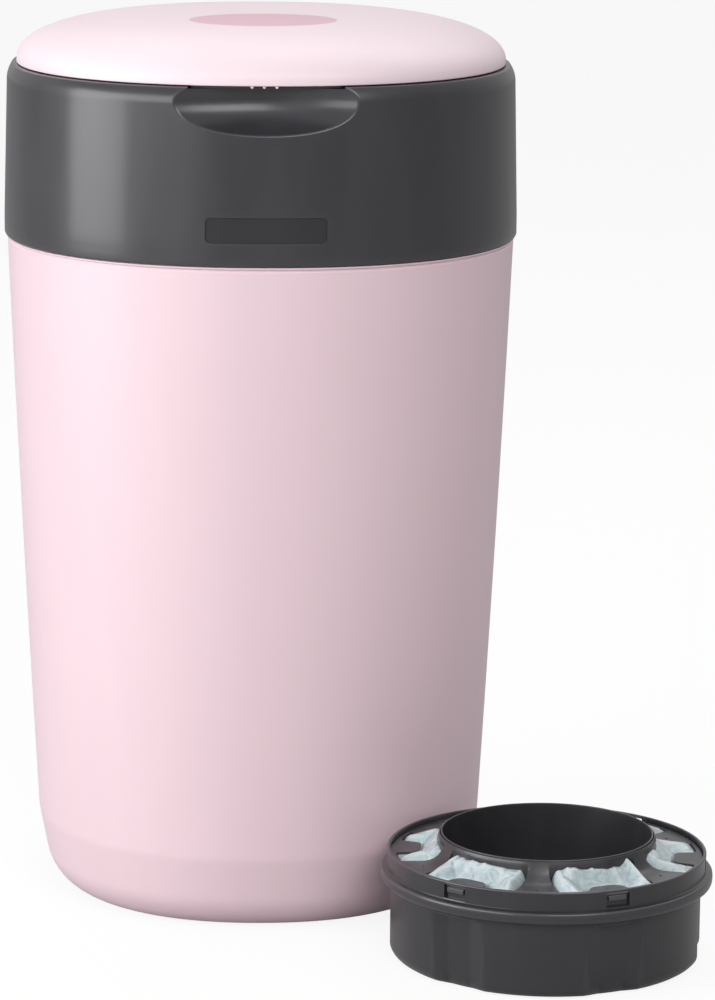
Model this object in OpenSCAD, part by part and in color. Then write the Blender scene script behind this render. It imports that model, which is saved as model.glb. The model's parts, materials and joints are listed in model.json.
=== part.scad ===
// Nappy bin with a twist mechanism, a refill cassette in it and a spare cassette beside it.
// Millimetres. +Z is up, the front faces -Y, and the origin is on the floor under the middle of the tub.

/* [Body] */
// Width of the tub at the seam under the top unit
body_width = 265; // [256:1:285]
// Depth of the tub at the seam, front to back
body_depth = 280; // [270:1:300]
// Squareness of the rounded section, where 2 is an ellipse
corner_power = 2.18; // [2.1:0.02:2.5]
// Height of the seam between the tub and the top unit
seam_height = 347.5; // [310:0.5:390]
// Height of the crease above the tucked-in base
crease_height = 39; // [30:1:50]
// How much narrower each side is at the crease than at the seam
side_taper = 14.7; // [8:0.1:18]
// Outward bulge of each side at half height
side_bulge = 0.6; // [0:0.1:2]
// How far each side tucks in from the crease to the floor
base_tuck = 7.5; // [2:0.5:10]
// Width of the rounded foot edge
foot_round_width = 14; // [8:1:18]
// Height of the rounded foot edge
foot_round_height = 18; // [12:1:24]
// Thickness of the tub wall
tub_wall = 2.4; // [2:0.1:2.8]
// Thickness of the tub floor
tub_floor = 3; // [2:0.1:5]

/* [Seam] */
// Height of the neck that the top unit sits over
neck_height = 9.5; // [6:0.5:12]
// Thickness of the neck
neck_wall = 2.2; // [1.8:0.1:2.6]
// Height of the bead under the seam
bead_height = 1; // [0.6:0.1:2]
// How far the bead stands out
bead_out = 0.5; // [0.2:0.1:0.8]
// Depth and height of the groove under the bead
groove_size = 0.6; // [0.3:0.1:1]
// Gap between the ledge of the tub and the edge of the top unit
seam_gap = 0.5; // [0.4:0.1:1]
// Gap between the neck and the skirt of the top unit
skirt_gap = 0.8; // [0.6:0.1:1.2]

/* [Top housing] */
// How far the band of the top unit stands out past the tub
band_overhang = 1.5; // [1:0.1:2.5]
// Height of the band from the seam to its rim
band_height = 88; // [84:0.5:98]
// Height of the plain lower edge of the band
band_edge_height = 10; // [6:1:16]
// How much narrower each side of the band is under its shoulder
band_taper = 1.7; // [0.5:0.1:3]
// Radius of the shoulder
shoulder_radius = 14; // [11:0.5:18]
// Height of the shoulder
shoulder_height = 8.5; // [6:0.5:10]
// Thickness of the housing wall
housing_wall = 2.4; // [2:0.1:3]
// Thickness of the rim
rim_thickness = 3; // [2:0.1:3.5]
// Half width of the opening in the rim
rim_opening = 113.5; // [112:0.5:115]
// Depth of the deck below the rim
deck_depth = 33; // [31:0.5:36]
// Thickness of the deck
deck_thickness = 3; // [2.4:0.1:4]
// Width of the ledge that carries the deck
ledge_width = 10; // [9:0.5:12]

/* [Finger scoop] */
// Half length of the scooped form, along the front
scoop_length = 69.5; // [50:0.5:75]
// Radius of the scooped form
scoop_radius = 18; // [14:0.5:19]
// How far the middle of the form lies in front of the band
scoop_out = 7.2; // [6:0.1:10]
// Depth of the middle of the form below the rim
scoop_drop = 6; // [4:0.5:8]

/* [Badge recess] */
// Width of the bare recess on the front
badge_width = 60.5; // [40:0.5:80]
// Height of the recess
badge_height = 12.8; // [8:0.2:16]
// Corner radius of the recess
badge_corner = 2.8; // [1:0.1:4]
// Depth of the recess
badge_depth = 0.6; // [0.3:0.1:1]
// Height of its middle above the seam
badge_rise = 18; // [16:0.5:30]

/* [Lid] */
// Half width of the lid
lid_half_width = 127.2; // [125:0.1:128]
// Gap between the rim and the edge of the lid
lid_gap = 0.5; // [0.4:0.1:1]
// Height of the straight edge of the lid
lid_edge_height = 1.5; // [0.8:0.1:3]
// Rise of the dome above the straight edge
dome_rise = 25.4; // [18:0.1:40]
// Fullness of the dome towards its middle
dome_power = 2.8; // [2:0.1:3.4]
// Fullness of the dome towards its edge
dome_edge_power = 2.2; // [2:0.1:2.6]
// Thickness of the lid cover
lid_wall = 2.2; // [1.8:0.1:2.6]
// Height of the lid liner above the rim
liner_rise = 2.4; // [2.2:0.1:3]
// Thickness of the lid liner
liner_thickness = 2.6; // [2:0.1:3]
// Depth of the plug ring under the liner
plug_depth = 8.4; // [5:0.1:10]
// Thickness of the plug ring
plug_wall = 2.4; // [1.8:0.1:3]
// Gap round the plug ring
plug_gap = 2; // [1.5:0.1:3]
// Width of the seal
seal_width = 4; // [3:0.1:5]
// Half length of the finger lip over the scoop
lip_half_length = 37.5; // [25:0.5:42]
// Spacing of the grip pips under the lip
pip_pitch = 6; // [4:0.5:8]
// Number of grip pips
pip_count = 3; // [1:1:5]

/* [Hinges] */
// Distance of the rear hinge axis behind the tub at the seam
rear_axis_out = 8.5; // [8:0.1:10]
// Depth of the rear hinge axis below the seam
rear_axis_drop = 1.5; // [1:0.1:2]
// Radius of the rear hinge barrels
rear_barrel_radius = 5; // [4.4:0.1:5.2]
// Radius of the rear hinge pin
rear_pin_radius = 2; // [1.5:0.1:2.4]
// Half length of the middle barrel of the rear hinge
rear_barrel_half = 23; // [16:0.5:24]
// Width of each outer ear of the rear hinge
rear_ear_width = 10; // [6:0.5:11]
// Distance of the lid hinge axis behind the band
lid_axis_out = 5; // [4.8:0.1:6]
// Depth of the lid hinge axis below the rim
lid_axis_drop = 1.5; // [1:0.1:2]
// Radius of the lid hinge barrels
lid_barrel_radius = 4; // [3.4:0.1:4.2]
// Radius of the lid hinge pin
lid_pin_radius = 1.5; // [1.2:0.1:2]
// Half length of the lid barrel
lid_barrel_half = 28; // [20:0.5:29]
// Width of each ear of the lid hinge
lid_ear_width = 8; // [5:0.5:9]
// Gap between a pin and its bore
pin_clearance = 0.05; // [0.02:0.01:0.1]
// Gap between the end of a barrel and its ear
barrel_gap = 1; // [0.4:0.1:2]

/* [Cassette] */
// Radius of the cassette wall
cassette_radius = 78.9; // [77:0.1:80]
// Thickness of the cassette wall
cassette_wall = 2; // [1.6:0.1:2.4]
// Height of the underside of the flange
flange_height = 38.6; // [36:0.1:42]
// How far the flange stands out past the wall
flange_out = 4.8; // [4.4:0.1:5.2]
// Height of the flange
flange_thickness = 6.2; // [5:0.1:7]
// How far the upper band stands out past the wall
band_out = 1.5; // [1.2:0.1:2]
// Height of the top lip
lip_height = 54.9; // [53:0.1:57]
// Depth of the cover below the top lip
cover_depth = 2.6; // [1.6:0.1:3.4]
// Thickness of the cover
cover_thickness = 1.8; // [1.4:0.1:2.2]
// Outer radius of the central tube
tube_radius = 53.5; // [50:0.1:55]
// Thickness of the central tube
tube_wall = 2; // [1.6:0.1:2.6]
// Height of the central tube
tube_height = 63.4; // [60:0.1:64]
// Radius of the bottom edge
cassette_round = 6; // [3:0.5:8]
// Thickness of the cassette floor
cassette_floor = 2; // [1.5:0.1:3]
// Number of snap windows, cut-outs and wall panels
cassette_repeats = 6; // [4:1:8]
// Turn of the first snap window from the front, clockwise
cassette_turn = 39; // [0:1:59]
// Width of a snap window
window_width = 12.5; // [9:0.5:14]
// Height of a snap window
window_height = 7.2; // [6:0.1:8]
// Half angle of a wall panel
panel_half_angle = 11; // [8:0.5:13]
// Depth of a wall panel
panel_depth = 1; // [0.4:0.1:1.2]
// Width of a cover bridge at its outer end
bridge_outer_width = 26; // [18:0.5:28]
// Width of a cover bridge at its inner end
bridge_inner_width = 9.5; // [6:0.5:14]
// Width of a cover tab
tab_width = 20; // [14:0.5:24]
// Length of a cover tab
tab_length = 11; // [8:0.5:13]
// Gap round the film
film_gap = 0.5; // [0.3:0.1:1]
// Turn at which the spare cassette stands at the tub, from the right towards the front
spare_turn = 47; // [30:1:60]
// Gap between the flange of the spare cassette and the tub
spare_gap = 1.1; // [1:0.1:2]

/* [Twist mechanism] */
// Gap between the cassette and its cradle
cradle_gap = 0.8; // [0.5:0.1:1.2]
// Thickness of the cradle wall
cradle_wall = 2.2; // [1.8:0.1:2.4]
// Thickness of the cradle flange and floor
cradle_thickness = 3; // [2.4:0.1:3.4]
// Running gap under the cradle flange
running_gap = 0.3; // [0.2:0.05:0.5]
// Outer radius of the cradle flange
cradle_flange_radius = 96; // [93:0.5:97]
// Depth of a ratchet tooth
tooth_depth = 2; // [1:0.1:2.4]
// Number of ratchet teeth
tooth_count = 48; // [24:1:60]
// Thickness of the ratchet ring
ratchet_thickness = 3; // [2:0.1:3.4]
// Thickness of the plate of the twist ring
twist_plate = 2.4; // [2:0.1:3]
// Height of the finger grips
grip_height = 12; // [8:0.5:13]
// Angle that a finger grip spans
grip_angle = 50; // [30:1:70]
// Thickness of a finger grip
grip_thickness = 6; // [4:0.5:8]
// Gap between the cradle and the well
well_gap = 1.4; // [1:0.1:2]
// Thickness of the well
well_wall = 2.2; // [1.8:0.1:3]
// Gap between the cradle floor and the well floor
well_floor_gap = 3; // [1:0.1:4]
// Half width of the hole in the cradle floor and the well floor
passage_radius = 62; // [58:0.5:66]
// Thickness of the flexible film gripper
gripper_thickness = 2; // [1.2:0.1:3]
// Radius of the hole in the film gripper
gripper_hole = 22; // [16:0.5:30]
// Number of fingers of the film gripper
gripper_fingers = 8; // [6:1:12]

/* [Catch and cutter] */
// Half length of the front catch
catch_half_length = 12; // [8:0.5:15]
// Thickness of the catch tongue
catch_thickness = 2.2; // [1.6:0.1:3]
// How far the catch lip stands in from the neck
catch_lip = 2; // [1.5:0.1:2.4]
// Radius of the catch pin
catch_pin_radius = 1.2; // [1:0.1:1.5]
// Width of the film cutter
cutter_width = 24; // [18:0.5:30]
// Height of the film cutter
cutter_height = 20; // [16:0.5:24]
// Depth of the film cutter
cutter_depth = 13; // [10:0.5:16]
// Width of the slot in the film cutter
cutter_slot = 3; // [2:0.1:4]
// Thickness of the blade
blade_thickness = 0.5; // [0.4:0.1:0.8]
// Radius of the shank of a deck screw
screw_radius = 1.5; // [1.2:0.1:1.8]
// Radius of the head of a deck screw
screw_head_radius = 3; // [2.5:0.1:3.3]
// Height of the head of a deck screw
screw_head_height = 2; // [1.4:0.1:2.6]
// Length of a deck screw under its head
screw_length = 9; // [7:0.5:12]

/* [Hidden] */

$fn = 96;
segments = 60;
pink = "#ebd3da";
light_pink = "#f6eaee";
charcoal = "#45444a";
dark_grey = "#55555a";
mint = "#cde4e4";
steel = "#b9bcc0";
rubber = "#2b2b2e";

// Body
half_width = body_width / 2;
depth_ratio = body_depth / body_width;
ledge_half = half_width + bead_out;
band_half = half_width + band_overhang;
band_bottom = seam_height + seam_gap;
rim_height = band_bottom + band_height;
skirt_inner = band_half - housing_wall;
neck_outer = skirt_inner - skirt_gap;
neck_inner = neck_outer - neck_wall;
neck_top = seam_height + neck_height;

// Top housing
shoulder_half = band_half - band_taper;
shoulder_start = rim_height - shoulder_height;
shoulder_angle = asin(shoulder_height / shoulder_radius);
rim_outer = shoulder_half - shoulder_radius * (1 - cos(shoulder_angle));
deck_top = rim_height - deck_depth;
deck_bottom = deck_top - deck_thickness;
ledge_bottom = deck_bottom - 3;
ledge_inner = shoulder_half - ledge_width;
deck_half = shoulder_half - housing_wall - 0.6;
scoop_height = rim_height - scoop_drop;
scoop_front = shoulder_half * depth_ratio + scoop_out;

// Lid
lid_bottom = rim_height + lid_gap;
dome_base = lid_bottom + lid_edge_height;
liner_bottom = rim_height + liner_rise;
liner_top = liner_bottom + liner_thickness;
liner_half = lid_half_width - lid_wall - 0.4;
plug_half = rim_opening - plug_gap;
seal_gap = 0.3;
lip_outer = lid_half_width - 1;
lip_inner = liner_half - 1.4;
lip_top = lid_bottom - 0.3;
lip_bottom = lip_top - 1.6;

// Hinges
rear_axis = [half_width * depth_ratio + rear_axis_out, seam_height - rear_axis_drop];
lid_axis = [shoulder_half * depth_ratio + lid_axis_out, rim_height - lid_axis_drop];
rear_ear_start = rear_barrel_half + barrel_gap;
rear_pin_half = rear_ear_start + rear_ear_width + 0.6;
lid_ear_start = lid_barrel_half + barrel_gap;
lid_pin_half = lid_ear_start + lid_ear_width + 0.6;

// Cassette
flange_radius = cassette_radius + flange_out;
band_radius = cassette_radius + band_out;
cassette_inner = cassette_radius - cassette_wall;
cover_seat = lip_height - cover_depth - cover_thickness;
cover_radius = band_radius - 1.6;
tube_inner = tube_radius - tube_wall;
collar_gap = 0.3;
collar_inner = tube_radius + collar_gap;
repeat_angle = 360 / cassette_repeats;
window_top = lip_height - 1.5;

// Twist mechanism
cradle_inner = cassette_radius + cradle_gap;
cradle_outer = cradle_inner + cradle_wall;
cradle_flange_bottom = deck_top + running_gap;
cradle_flange_top = cradle_flange_bottom + cradle_thickness;
cradle_rim = cradle_flange_top + 0.5;
cassette_base = cradle_rim - flange_height;
cradle_floor_top = cassette_base - 0.5;
cradle_floor_bottom = cradle_floor_top - cradle_thickness;
ratchet_inner = cradle_flange_radius - 6;
ratchet_outer = cradle_flange_radius + tooth_depth;
ratchet_top = cradle_flange_top + ratchet_thickness;
twist_inner = flange_radius + 1;
twist_outer = ratchet_inner + 5;
twist_top = ratchet_top + twist_plate;
well_inner = cradle_outer + well_gap;
well_outer = well_inner + well_wall;
well_floor_top = cradle_floor_bottom - well_floor_gap;
well_floor_bottom = well_floor_top - 2.4;
gripper_outer = passage_radius + 12;

// Click pawl: it lies on the deck at the right and its tip looks at the teeth
pawl_gap = 0.3;
pawl_axis = [ratchet_outer + 12, -20];
pawl_pin_radius = 1.5;
pawl_bottom = cradle_flange_top + 0.2;
pawl_thickness = 2.4;
pawl_tip = [ratchet_outer + pawl_gap, 0];
spring_bottom = pawl_bottom + pawl_thickness + 0.2;
spring_height = 2;
spring_post = pawl_axis + [4, -11];

// Front catch
catch_axis = [-(ledge_inner * depth_ratio - 5.5), deck_bottom - 8];
catch_barrel_radius = catch_pin_radius + 1.4;
catch_lip_top = neck_top - 5;
catch_lip_bottom = catch_lip_top - 2.4;
catch_gap = 0.6;
catch_face = -(neck_inner * depth_ratio - catch_lip - catch_gap);
catch_nose_bottom = catch_lip_bottom - 4;
catch_knee = 16;

// Film cutter
cutter_bottom = well_floor_bottom + 4;
blade_bottom = cutter_bottom + 7;
blade_half = cutter_width / 2 - 3;
blade_height = cutter_height - 11;

// Deck screws stand on the ledge, two at each side
screw_turns = [35, 145, 215, 325];
screw_circle = ledge_inner + screw_head_radius + 0.6;

// Half width of the outside of the tub at a height
function tub_half(z) =
    z >= crease_height
    ? let (s = (z - crease_height) / (seam_height - crease_height))
        half_width - side_taper * (1 - s) + 4 * side_bulge * s * (1 - s)
    : let (s = z / crease_height, f = max(0, 1 - z / foot_round_height))
        half_width - side_taper - base_tuck * (1 - s) - foot_round_width * (1 - sqrt(1 - f * f));

// Half width of the outside of the band at a height above its lower edge
function band_half_at(z) =
    z <= band_bottom + band_edge_height ? band_half
    : band_half - band_taper * (z - band_bottom - band_edge_height)
        / (shoulder_start - band_bottom - band_edge_height);

// Height of the dome over a half width
function dome_height(a, half, base, rise) =
    base + rise * pow(max(0, 1 - pow(a / half, dome_power)), 1 / dome_edge_power);

// A point of the section with a half width, at a turn
function section_point(a, t) = [
    a * sign(cos(t)) * pow(abs(cos(t)), 2 / corner_power),
    a * depth_ratio * sign(sin(t)) * pow(abs(sin(t)), 2 / corner_power)];

// Direction that points straight out of the section at a turn
function section_normal(t) =
    let (n = [
        sign(cos(t)) * pow(abs(cos(t)), 2 - 2 / corner_power),
        sign(sin(t)) * pow(abs(sin(t)), 2 - 2 / corner_power) / depth_ratio])
    n / norm(n);

function section(a) = [for (i = [0 : segments - 1]) section_point(a, 360 * i / segments)];

function ring(a, z) = [for (p = section(a)) [p[0], p[1], z]];

// Side faces between ring r and ring s
function band_faces(r, s) = [
    for (i = [0 : segments - 1])
        let (j = (i + 1) % segments, a = r * segments, b = s * segments)
            each [[a + i, b + i, b + j], [a + i, b + j, a + j]]];

// Closed solid through rings of [half width, height], with a cap at each end
module loft(profile) {
    last = len(profile) - 1;
    polyhedron(
        points = [for (p = profile) each ring(p[0], p[1])],
        faces = concat(
            [[for (i = [0 : segments - 1]) i]],
            [for (r = [0 : last - 1]) each band_faces(r, r + 1)],
            [[for (i = [segments - 1 : -1 : 0]) last * segments + i]]),
        convexity = 8);
}

// Closed hoop through rings of [half width, height], the last one joined to the first
module loft_hoop(profile) {
    count = len(profile);
    polyhedron(
        points = [for (p = profile) each ring(p[0], p[1])],
        faces = [for (r = [0 : count - 1]) each band_faces(r, (r + 1) % count)],
        convexity = 8);
}

// Flat plate with the section's outline
module section_plate(half, bottom, top) {
    translate([0, 0, bottom]) linear_extrude(top - bottom) polygon(section(half));
}

// Flat hoop with the section's outline
module section_hoop(outer, inner, bottom, top) {
    translate([0, 0, bottom]) linear_extrude(top - bottom) difference() {
        polygon(section(outer));
        polygon(section(inner));
    }
}

// Curved strip along the front, with the section's outline
module front_arc(half_length, outer, inner, bottom, top) {
    translate([0, 0, bottom]) linear_extrude(top - bottom) intersection() {
        difference() {
            polygon(section(outer));
            polygon(section(inner));
        }
        translate([-half_length, -body_depth]) square([2 * half_length, body_depth]);
    }
}

// Plate across the bin, from one X to another, with an outline of [y, z] points
module cross_plate(outline, from_x, to_x) {
    translate([from_x, 0, 0]) rotate([90, 0, 90]) linear_extrude(to_x - from_x) polygon(outline);
}

// Bar along X about an axis given as [y, z]
module cross_bar(axis, radius, from_x, to_x) {
    translate([from_x, axis[0], axis[1]]) rotate([0, 90, 0]) cylinder(r = radius, h = to_x - from_x);
}

module annulus(outer, inner, bottom, top) {
    translate([0, 0, bottom]) difference() {
        cylinder(r = outer, h = top - bottom);
        translate([0, 0, -1]) cylinder(r = inner, h = top - bottom + 2);
    }
}

// Sector outline with its point on the axis
function wedge(radius, half_angle) = [
    [0, 0],
    [radius * cos(half_angle), -radius * sin(half_angle)],
    [radius * 1.2, 0],
    [radius * cos(half_angle), radius * sin(half_angle)]];

// ---------------------------------------------------------------- tub

module tub() {
    foot = [0, 0.04, 0.12, 0.25, 0.45, 0.7, 1];
    rise = [0.25, 0.5, 0.75];
    wall_end = seam_height - bead_height - 3 * groove_size;
    ear_low = seam_height - 31.5;
    ear_root = half_width * depth_ratio - 3.8;
    outer = concat(
        [for (f = foot) [tub_half(f * foot_round_height), f * foot_round_height]],
        [[tub_half(crease_height), crease_height]],
        [for (s = rise) let (z = crease_height + s * (seam_height - crease_height)) [tub_half(z), z]],
        [[tub_half(wall_end), wall_end],
         [half_width - groove_size, wall_end + groove_size],
         [half_width - groove_size, seam_height - bead_height - groove_size],
         [ledge_half, seam_height - bead_height],
         [ledge_half, seam_height - 0.2],
         [ledge_half - 0.3, seam_height],
         [neck_outer, seam_height],
         [neck_outer, neck_top - 0.6],
         [neck_outer - 0.6, neck_top]]);
    inner = concat(
        [[neck_inner, neck_top], [neck_inner, seam_height - 5]],
        [for (s = [0.9, 0.6, 0.3])
            let (z = crease_height + s * (seam_height - crease_height)) [tub_half(z) - tub_wall, z]],
        [[tub_half(crease_height) - tub_wall, crease_height + 1]],
        [for (f = [1, 0.6, 0.3, 0.1, 0])
            let (z = tub_floor + f * foot_round_height) [tub_half(max(0, z - 1.4)) - tub_wall, z]]);
    color(pink) difference() {
        union() {
            loft(concat(outer, inner));
            for (side = [-1, 1]) {
                from_x = side > 0 ? rear_ear_start : -rear_ear_start - rear_ear_width;
                cross_plate([
                    [ear_root - 1.2, ear_low],
                    [ear_root + 3.4, ear_low],
                    [rear_axis[0] + rear_barrel_radius * 0.96, rear_axis[1] - rear_barrel_radius * 0.3],
                    [rear_axis[0], rear_axis[1]],
                    [rear_axis[0] - rear_barrel_radius * 0.8, rear_axis[1] - rear_barrel_radius * 0.6],
                    [ear_root, seam_height - 4]], from_x, from_x + rear_ear_width);
                cross_bar(rear_axis, rear_barrel_radius, from_x, from_x + rear_ear_width);
            }
            translate([-catch_half_length - 2, -neck_inner * depth_ratio - 0.8, catch_lip_bottom])
                cube([2 * catch_half_length + 4, catch_lip + 0.8, catch_lip_top - catch_lip_bottom]);
        }
        cross_bar(rear_axis, rear_pin_radius + pin_clearance, -rear_pin_half - 1, rear_pin_half + 1);
    }
}

module main_hinge_pin() {
    color(steel) cross_bar(rear_axis, rear_pin_radius, -rear_pin_half, rear_pin_half);
}

// ---------------------------------------------------------------- top unit

function housing_profile() = let (
    lean = [for (s = [0, 1]) shoulder_start - (1 - s) * (shoulder_start - band_bottom - band_edge_height)],
    shoulder = [for (k = [1 : 3]) let (t = shoulder_angle * k / 3)
        [shoulder_half - shoulder_radius * (1 - cos(t)), shoulder_start + shoulder_radius * sin(t)]])
    concat(
        [[band_half - 0.5, band_bottom], [band_half, band_bottom + 0.8]],
        [for (z = lean) [band_half_at(z), z]],
        [for (p = shoulder) p],
        [[rim_opening + 0.5, rim_height],
         [rim_opening, rim_height - 0.5],
         [rim_opening, rim_height - rim_thickness],
         [rim_outer - housing_wall - 1, rim_height - rim_thickness],
         [band_half_at(shoulder_start) - housing_wall, shoulder_start - 2],
         [band_half_at(deck_bottom) - housing_wall, deck_bottom],
         [ledge_inner, deck_bottom],
         [ledge_inner, ledge_bottom],
         [band_half_at(ledge_bottom - 6) - housing_wall, ledge_bottom - 6],
         [skirt_inner, band_bottom + band_edge_height],
         [skirt_inner, band_bottom]]);

// Long rounded form along X, which the scoop and its pocket share
module scoop_form(grow) {
    long = scoop_length + grow;
    round = scoop_radius + grow;
    translate([0, -scoop_front, scoop_height]) rotate([0, 90, 0])
        rotate_extrude() polygon(
            [for (k = [0 : 24]) let (t = -90 + 7.5 * k)
                [k == 0 || k == 24 ? 0 : round * cos(t), long * sin(t)]]);
}

module badge_outline() {
    hull() for (x = [-1, 1], y = [-1, 1])
        translate([x * (badge_width / 2 - badge_corner), y * (badge_height / 2 - badge_corner)])
            circle(r = badge_corner);
}

module screw_places() {
    for (t = screw_turns) {
        p = section_point(screw_circle, t);
        translate([p[0], p[1], deck_top]) children();
    }
}

module top_housing() {
    knuckle_root = band_half * depth_ratio - 2;
    ear_root = shoulder_half * depth_ratio - 4.7;
    ear_low = rim_height - 35;
    color(charcoal) difference() {
        union() {
            loft_hoop(housing_profile());
            intersection() {
                scoop_form(housing_wall);
                loft([
                    [shoulder_half - 1, scoop_height - scoop_radius - 6],
                    [shoulder_half - 1, shoulder_start - 3],
                    [rim_outer - 1.2, rim_height - 1]]);
            }
            cross_plate([
                [knuckle_root, band_bottom + 0.6],
                [rear_axis[0] - rear_barrel_radius * 0.5, rear_axis[1] + rear_barrel_radius * 0.2],
                [rear_axis[0] + rear_barrel_radius * 0.5, rear_axis[1] + rear_barrel_radius * 0.8],
                [knuckle_root + 2, band_bottom + 12],
                [knuckle_root, band_bottom + 12]], -rear_barrel_half, rear_barrel_half);
            cross_bar(rear_axis, rear_barrel_radius, -rear_barrel_half, rear_barrel_half);
            for (side = [-1, 1]) {
                from_x = side > 0 ? lid_ear_start : -lid_ear_start - lid_ear_width;
                cross_plate([
                    [ear_root, ear_low],
                    [ear_root + 2.4, ear_low],
                    [lid_axis[0] + lid_barrel_radius * 0.96, lid_axis[1] - lid_barrel_radius * 0.3],
                    [lid_axis[0], lid_axis[1]],
                    [lid_axis[0] - lid_barrel_radius * 0.9, lid_axis[1] - lid_barrel_radius * 0.4],
                    [ear_root - 0.3, shoulder_start]], from_x, from_x + lid_ear_width);
                cross_bar(lid_axis, lid_barrel_radius, from_x, from_x + lid_ear_width);
            }
        }
        scoop_form(0);
        front_arc(lip_half_length + 1.2, band_half + 2, lip_inner - 0.7, lip_bottom - 0.4, rim_height + 1);
        difference() {
            translate([0, 0, band_bottom + badge_rise]) rotate([90, 0, 0])
                linear_extrude(2 * body_depth) badge_outline();
            section_plate(band_half_at(band_bottom + badge_rise) - badge_depth,
                band_bottom + badge_rise - badge_height, band_bottom + badge_rise + badge_height);
        }
        screw_places() translate([0, 0, -screw_length - 3])
            cylinder(r = screw_radius + 0.1, h = screw_length + 6);
        cross_bar(rear_axis, rear_pin_radius + pin_clearance, -rear_pin_half, rear_pin_half);
        cross_bar(lid_axis, lid_pin_radius + pin_clearance, -lid_pin_half - 1, lid_pin_half + 1);
    }
}

module deck() {
    lug_half = catch_half_length + 0.8;
    color(charcoal) difference() {
        union() {
            section_plate(deck_half, deck_bottom, deck_top);
            translate([0, 0, well_floor_bottom]) cylinder(r = well_outer, h = deck_top - well_floor_bottom);
            for (side = [-1, 1]) {
                from_x = side > 0 ? lug_half : -lug_half - 3;
                cross_plate([
                    [catch_axis[0] - 3, catch_axis[1] - 3],
                    [catch_axis[0] + 3, catch_axis[1] - 3],
                    [catch_axis[0] + 5, deck_bottom + 0.5],
                    [catch_axis[0] - 3, deck_bottom + 0.5]], from_x, from_x + 3);
            }
        }
        translate([0, 0, well_floor_top]) cylinder(r = well_inner, h = deck_top);
        translate([0, 0, well_floor_bottom - 1]) cylinder(r = passage_radius, h = deck_top);
        screw_places() translate([0, 0, -deck_thickness - 1])
            cylinder(r = screw_radius + 0.1, h = deck_thickness + 2);
        cross_bar(catch_axis, catch_pin_radius + pin_clearance, -lug_half - 4, lug_half + 4);
    }
    color(charcoal) {
        translate([pawl_axis[0], pawl_axis[1], deck_top]) cylinder(r = 4, h = pawl_bottom - 0.2 - deck_top);
        translate([spring_post[0], spring_post[1], deck_top])
            cylinder(r = 0.9, h = spring_bottom + spring_height - deck_top);
    }
}

module deck_screws() {
    color(steel) screw_places() {
        difference() {
            cylinder(r = screw_head_radius, h = screw_head_height);
            translate([-0.5, -screw_head_radius - 1, screw_head_height - 0.8])
                cube([1, 2 * screw_head_radius + 2, 1]);
            translate([-screw_head_radius - 1, -0.5, screw_head_height - 0.8])
                cube([2 * screw_head_radius + 2, 1, 1]);
        }
        translate([0, 0, -screw_length]) cylinder(r = screw_radius, h = screw_length);
    }
}

module film_gripper() {
    top = well_floor_bottom;
    color(rubber) difference() {
        translate([0, 0, top - gripper_thickness]) cylinder(r = gripper_outer, h = gripper_thickness);
        translate([0, 0, top - gripper_thickness - 1]) cylinder(r = gripper_hole, h = gripper_thickness + 2);
        for (k = [0 : gripper_fingers - 1]) rotate([0, 0, 360 * (k + 0.5) / gripper_fingers])
            translate([gripper_hole - 2, -0.6, top - gripper_thickness - 1])
                cube([passage_radius - gripper_hole - 4, 1.2, gripper_thickness + 2]);
    }
}

// Film cutter on the front of the well: a guard with a slot from below and a blade across the slot
module cutter_guard() {
    back = -sqrt(well_outer * well_outer - cutter_width * cutter_width / 4) - 0.1;
    color(dark_grey) difference() {
        translate([-cutter_width / 2, back - cutter_depth, cutter_bottom])
            cube([cutter_width, cutter_depth + 3, cutter_height]);
        translate([0, 0, cutter_bottom - 1]) cylinder(r = well_outer, h = cutter_height + 2);
        translate([-cutter_slot / 2, back - cutter_depth - 1, cutter_bottom - 1])
            cube([cutter_slot, cutter_depth - 1, cutter_height - 5]);
        translate([-blade_half, back - cutter_depth / 2 - blade_thickness / 2, blade_bottom])
            cube([2 * blade_half, blade_thickness, blade_height]);
    }
}

module cutter_blade() {
    back = -sqrt(well_outer * well_outer - cutter_width * cutter_width / 4) - 0.1;
    front = back - cutter_depth / 2 + blade_thickness / 2;
    color(steel) translate([0, front, blade_bottom]) rotate([90, 0, 0])
        linear_extrude(blade_thickness)
            polygon([
                [-blade_half, 0], [0, 3], [blade_half, 0],
                [blade_half, blade_height], [-blade_half, blade_height]]);
}

// Sprung tongue whose nose hooks under the lip inside the neck
module front_catch() {
    color(dark_grey) difference() {
        union() {
            cross_plate([
                [catch_face, catch_nose_bottom + 1],
                [catch_face - catch_lip - 0.1, catch_lip_bottom - 2.2],
                [catch_face - catch_lip - 0.1, catch_lip_bottom - 0.4],
                [catch_face, catch_lip_bottom - 0.4],
                [catch_face, catch_axis[1] - catch_knee],
                [catch_axis[0] - catch_barrel_radius + 0.1, catch_axis[1]],
                [catch_axis[0] + 1, catch_axis[1] - 2],
                [catch_face + catch_thickness, catch_axis[1] - catch_knee - 2],
                [catch_face + catch_thickness, catch_nose_bottom]], -catch_half_length, catch_half_length);
            cross_bar(catch_axis, catch_barrel_radius, -catch_half_length, catch_half_length);
        }
        cross_bar(catch_axis, catch_pin_radius + pin_clearance,
            -catch_half_length - 1, catch_half_length + 1);
    }
}

module catch_pin() {
    half = catch_half_length + 4;
    color(steel) cross_bar(catch_axis, catch_pin_radius, -half, half);
}

// ---------------------------------------------------------------- twist mechanism

module cradle() {
    color(dark_grey) difference() {
        union() {
            translate([0, 0, cradle_floor_bottom])
                cylinder(r = cradle_outer, h = cradle_rim - cradle_floor_bottom);
            translate([0, 0, cradle_flange_bottom]) cylinder(r = cradle_flange_radius, h = cradle_thickness);
        }
        translate([0, 0, cradle_floor_top]) cylinder(r = cradle_inner, h = cradle_rim);
        translate([0, 0, cradle_floor_bottom - 1]) cylinder(r = passage_radius, h = cradle_rim);
    }
}

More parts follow.
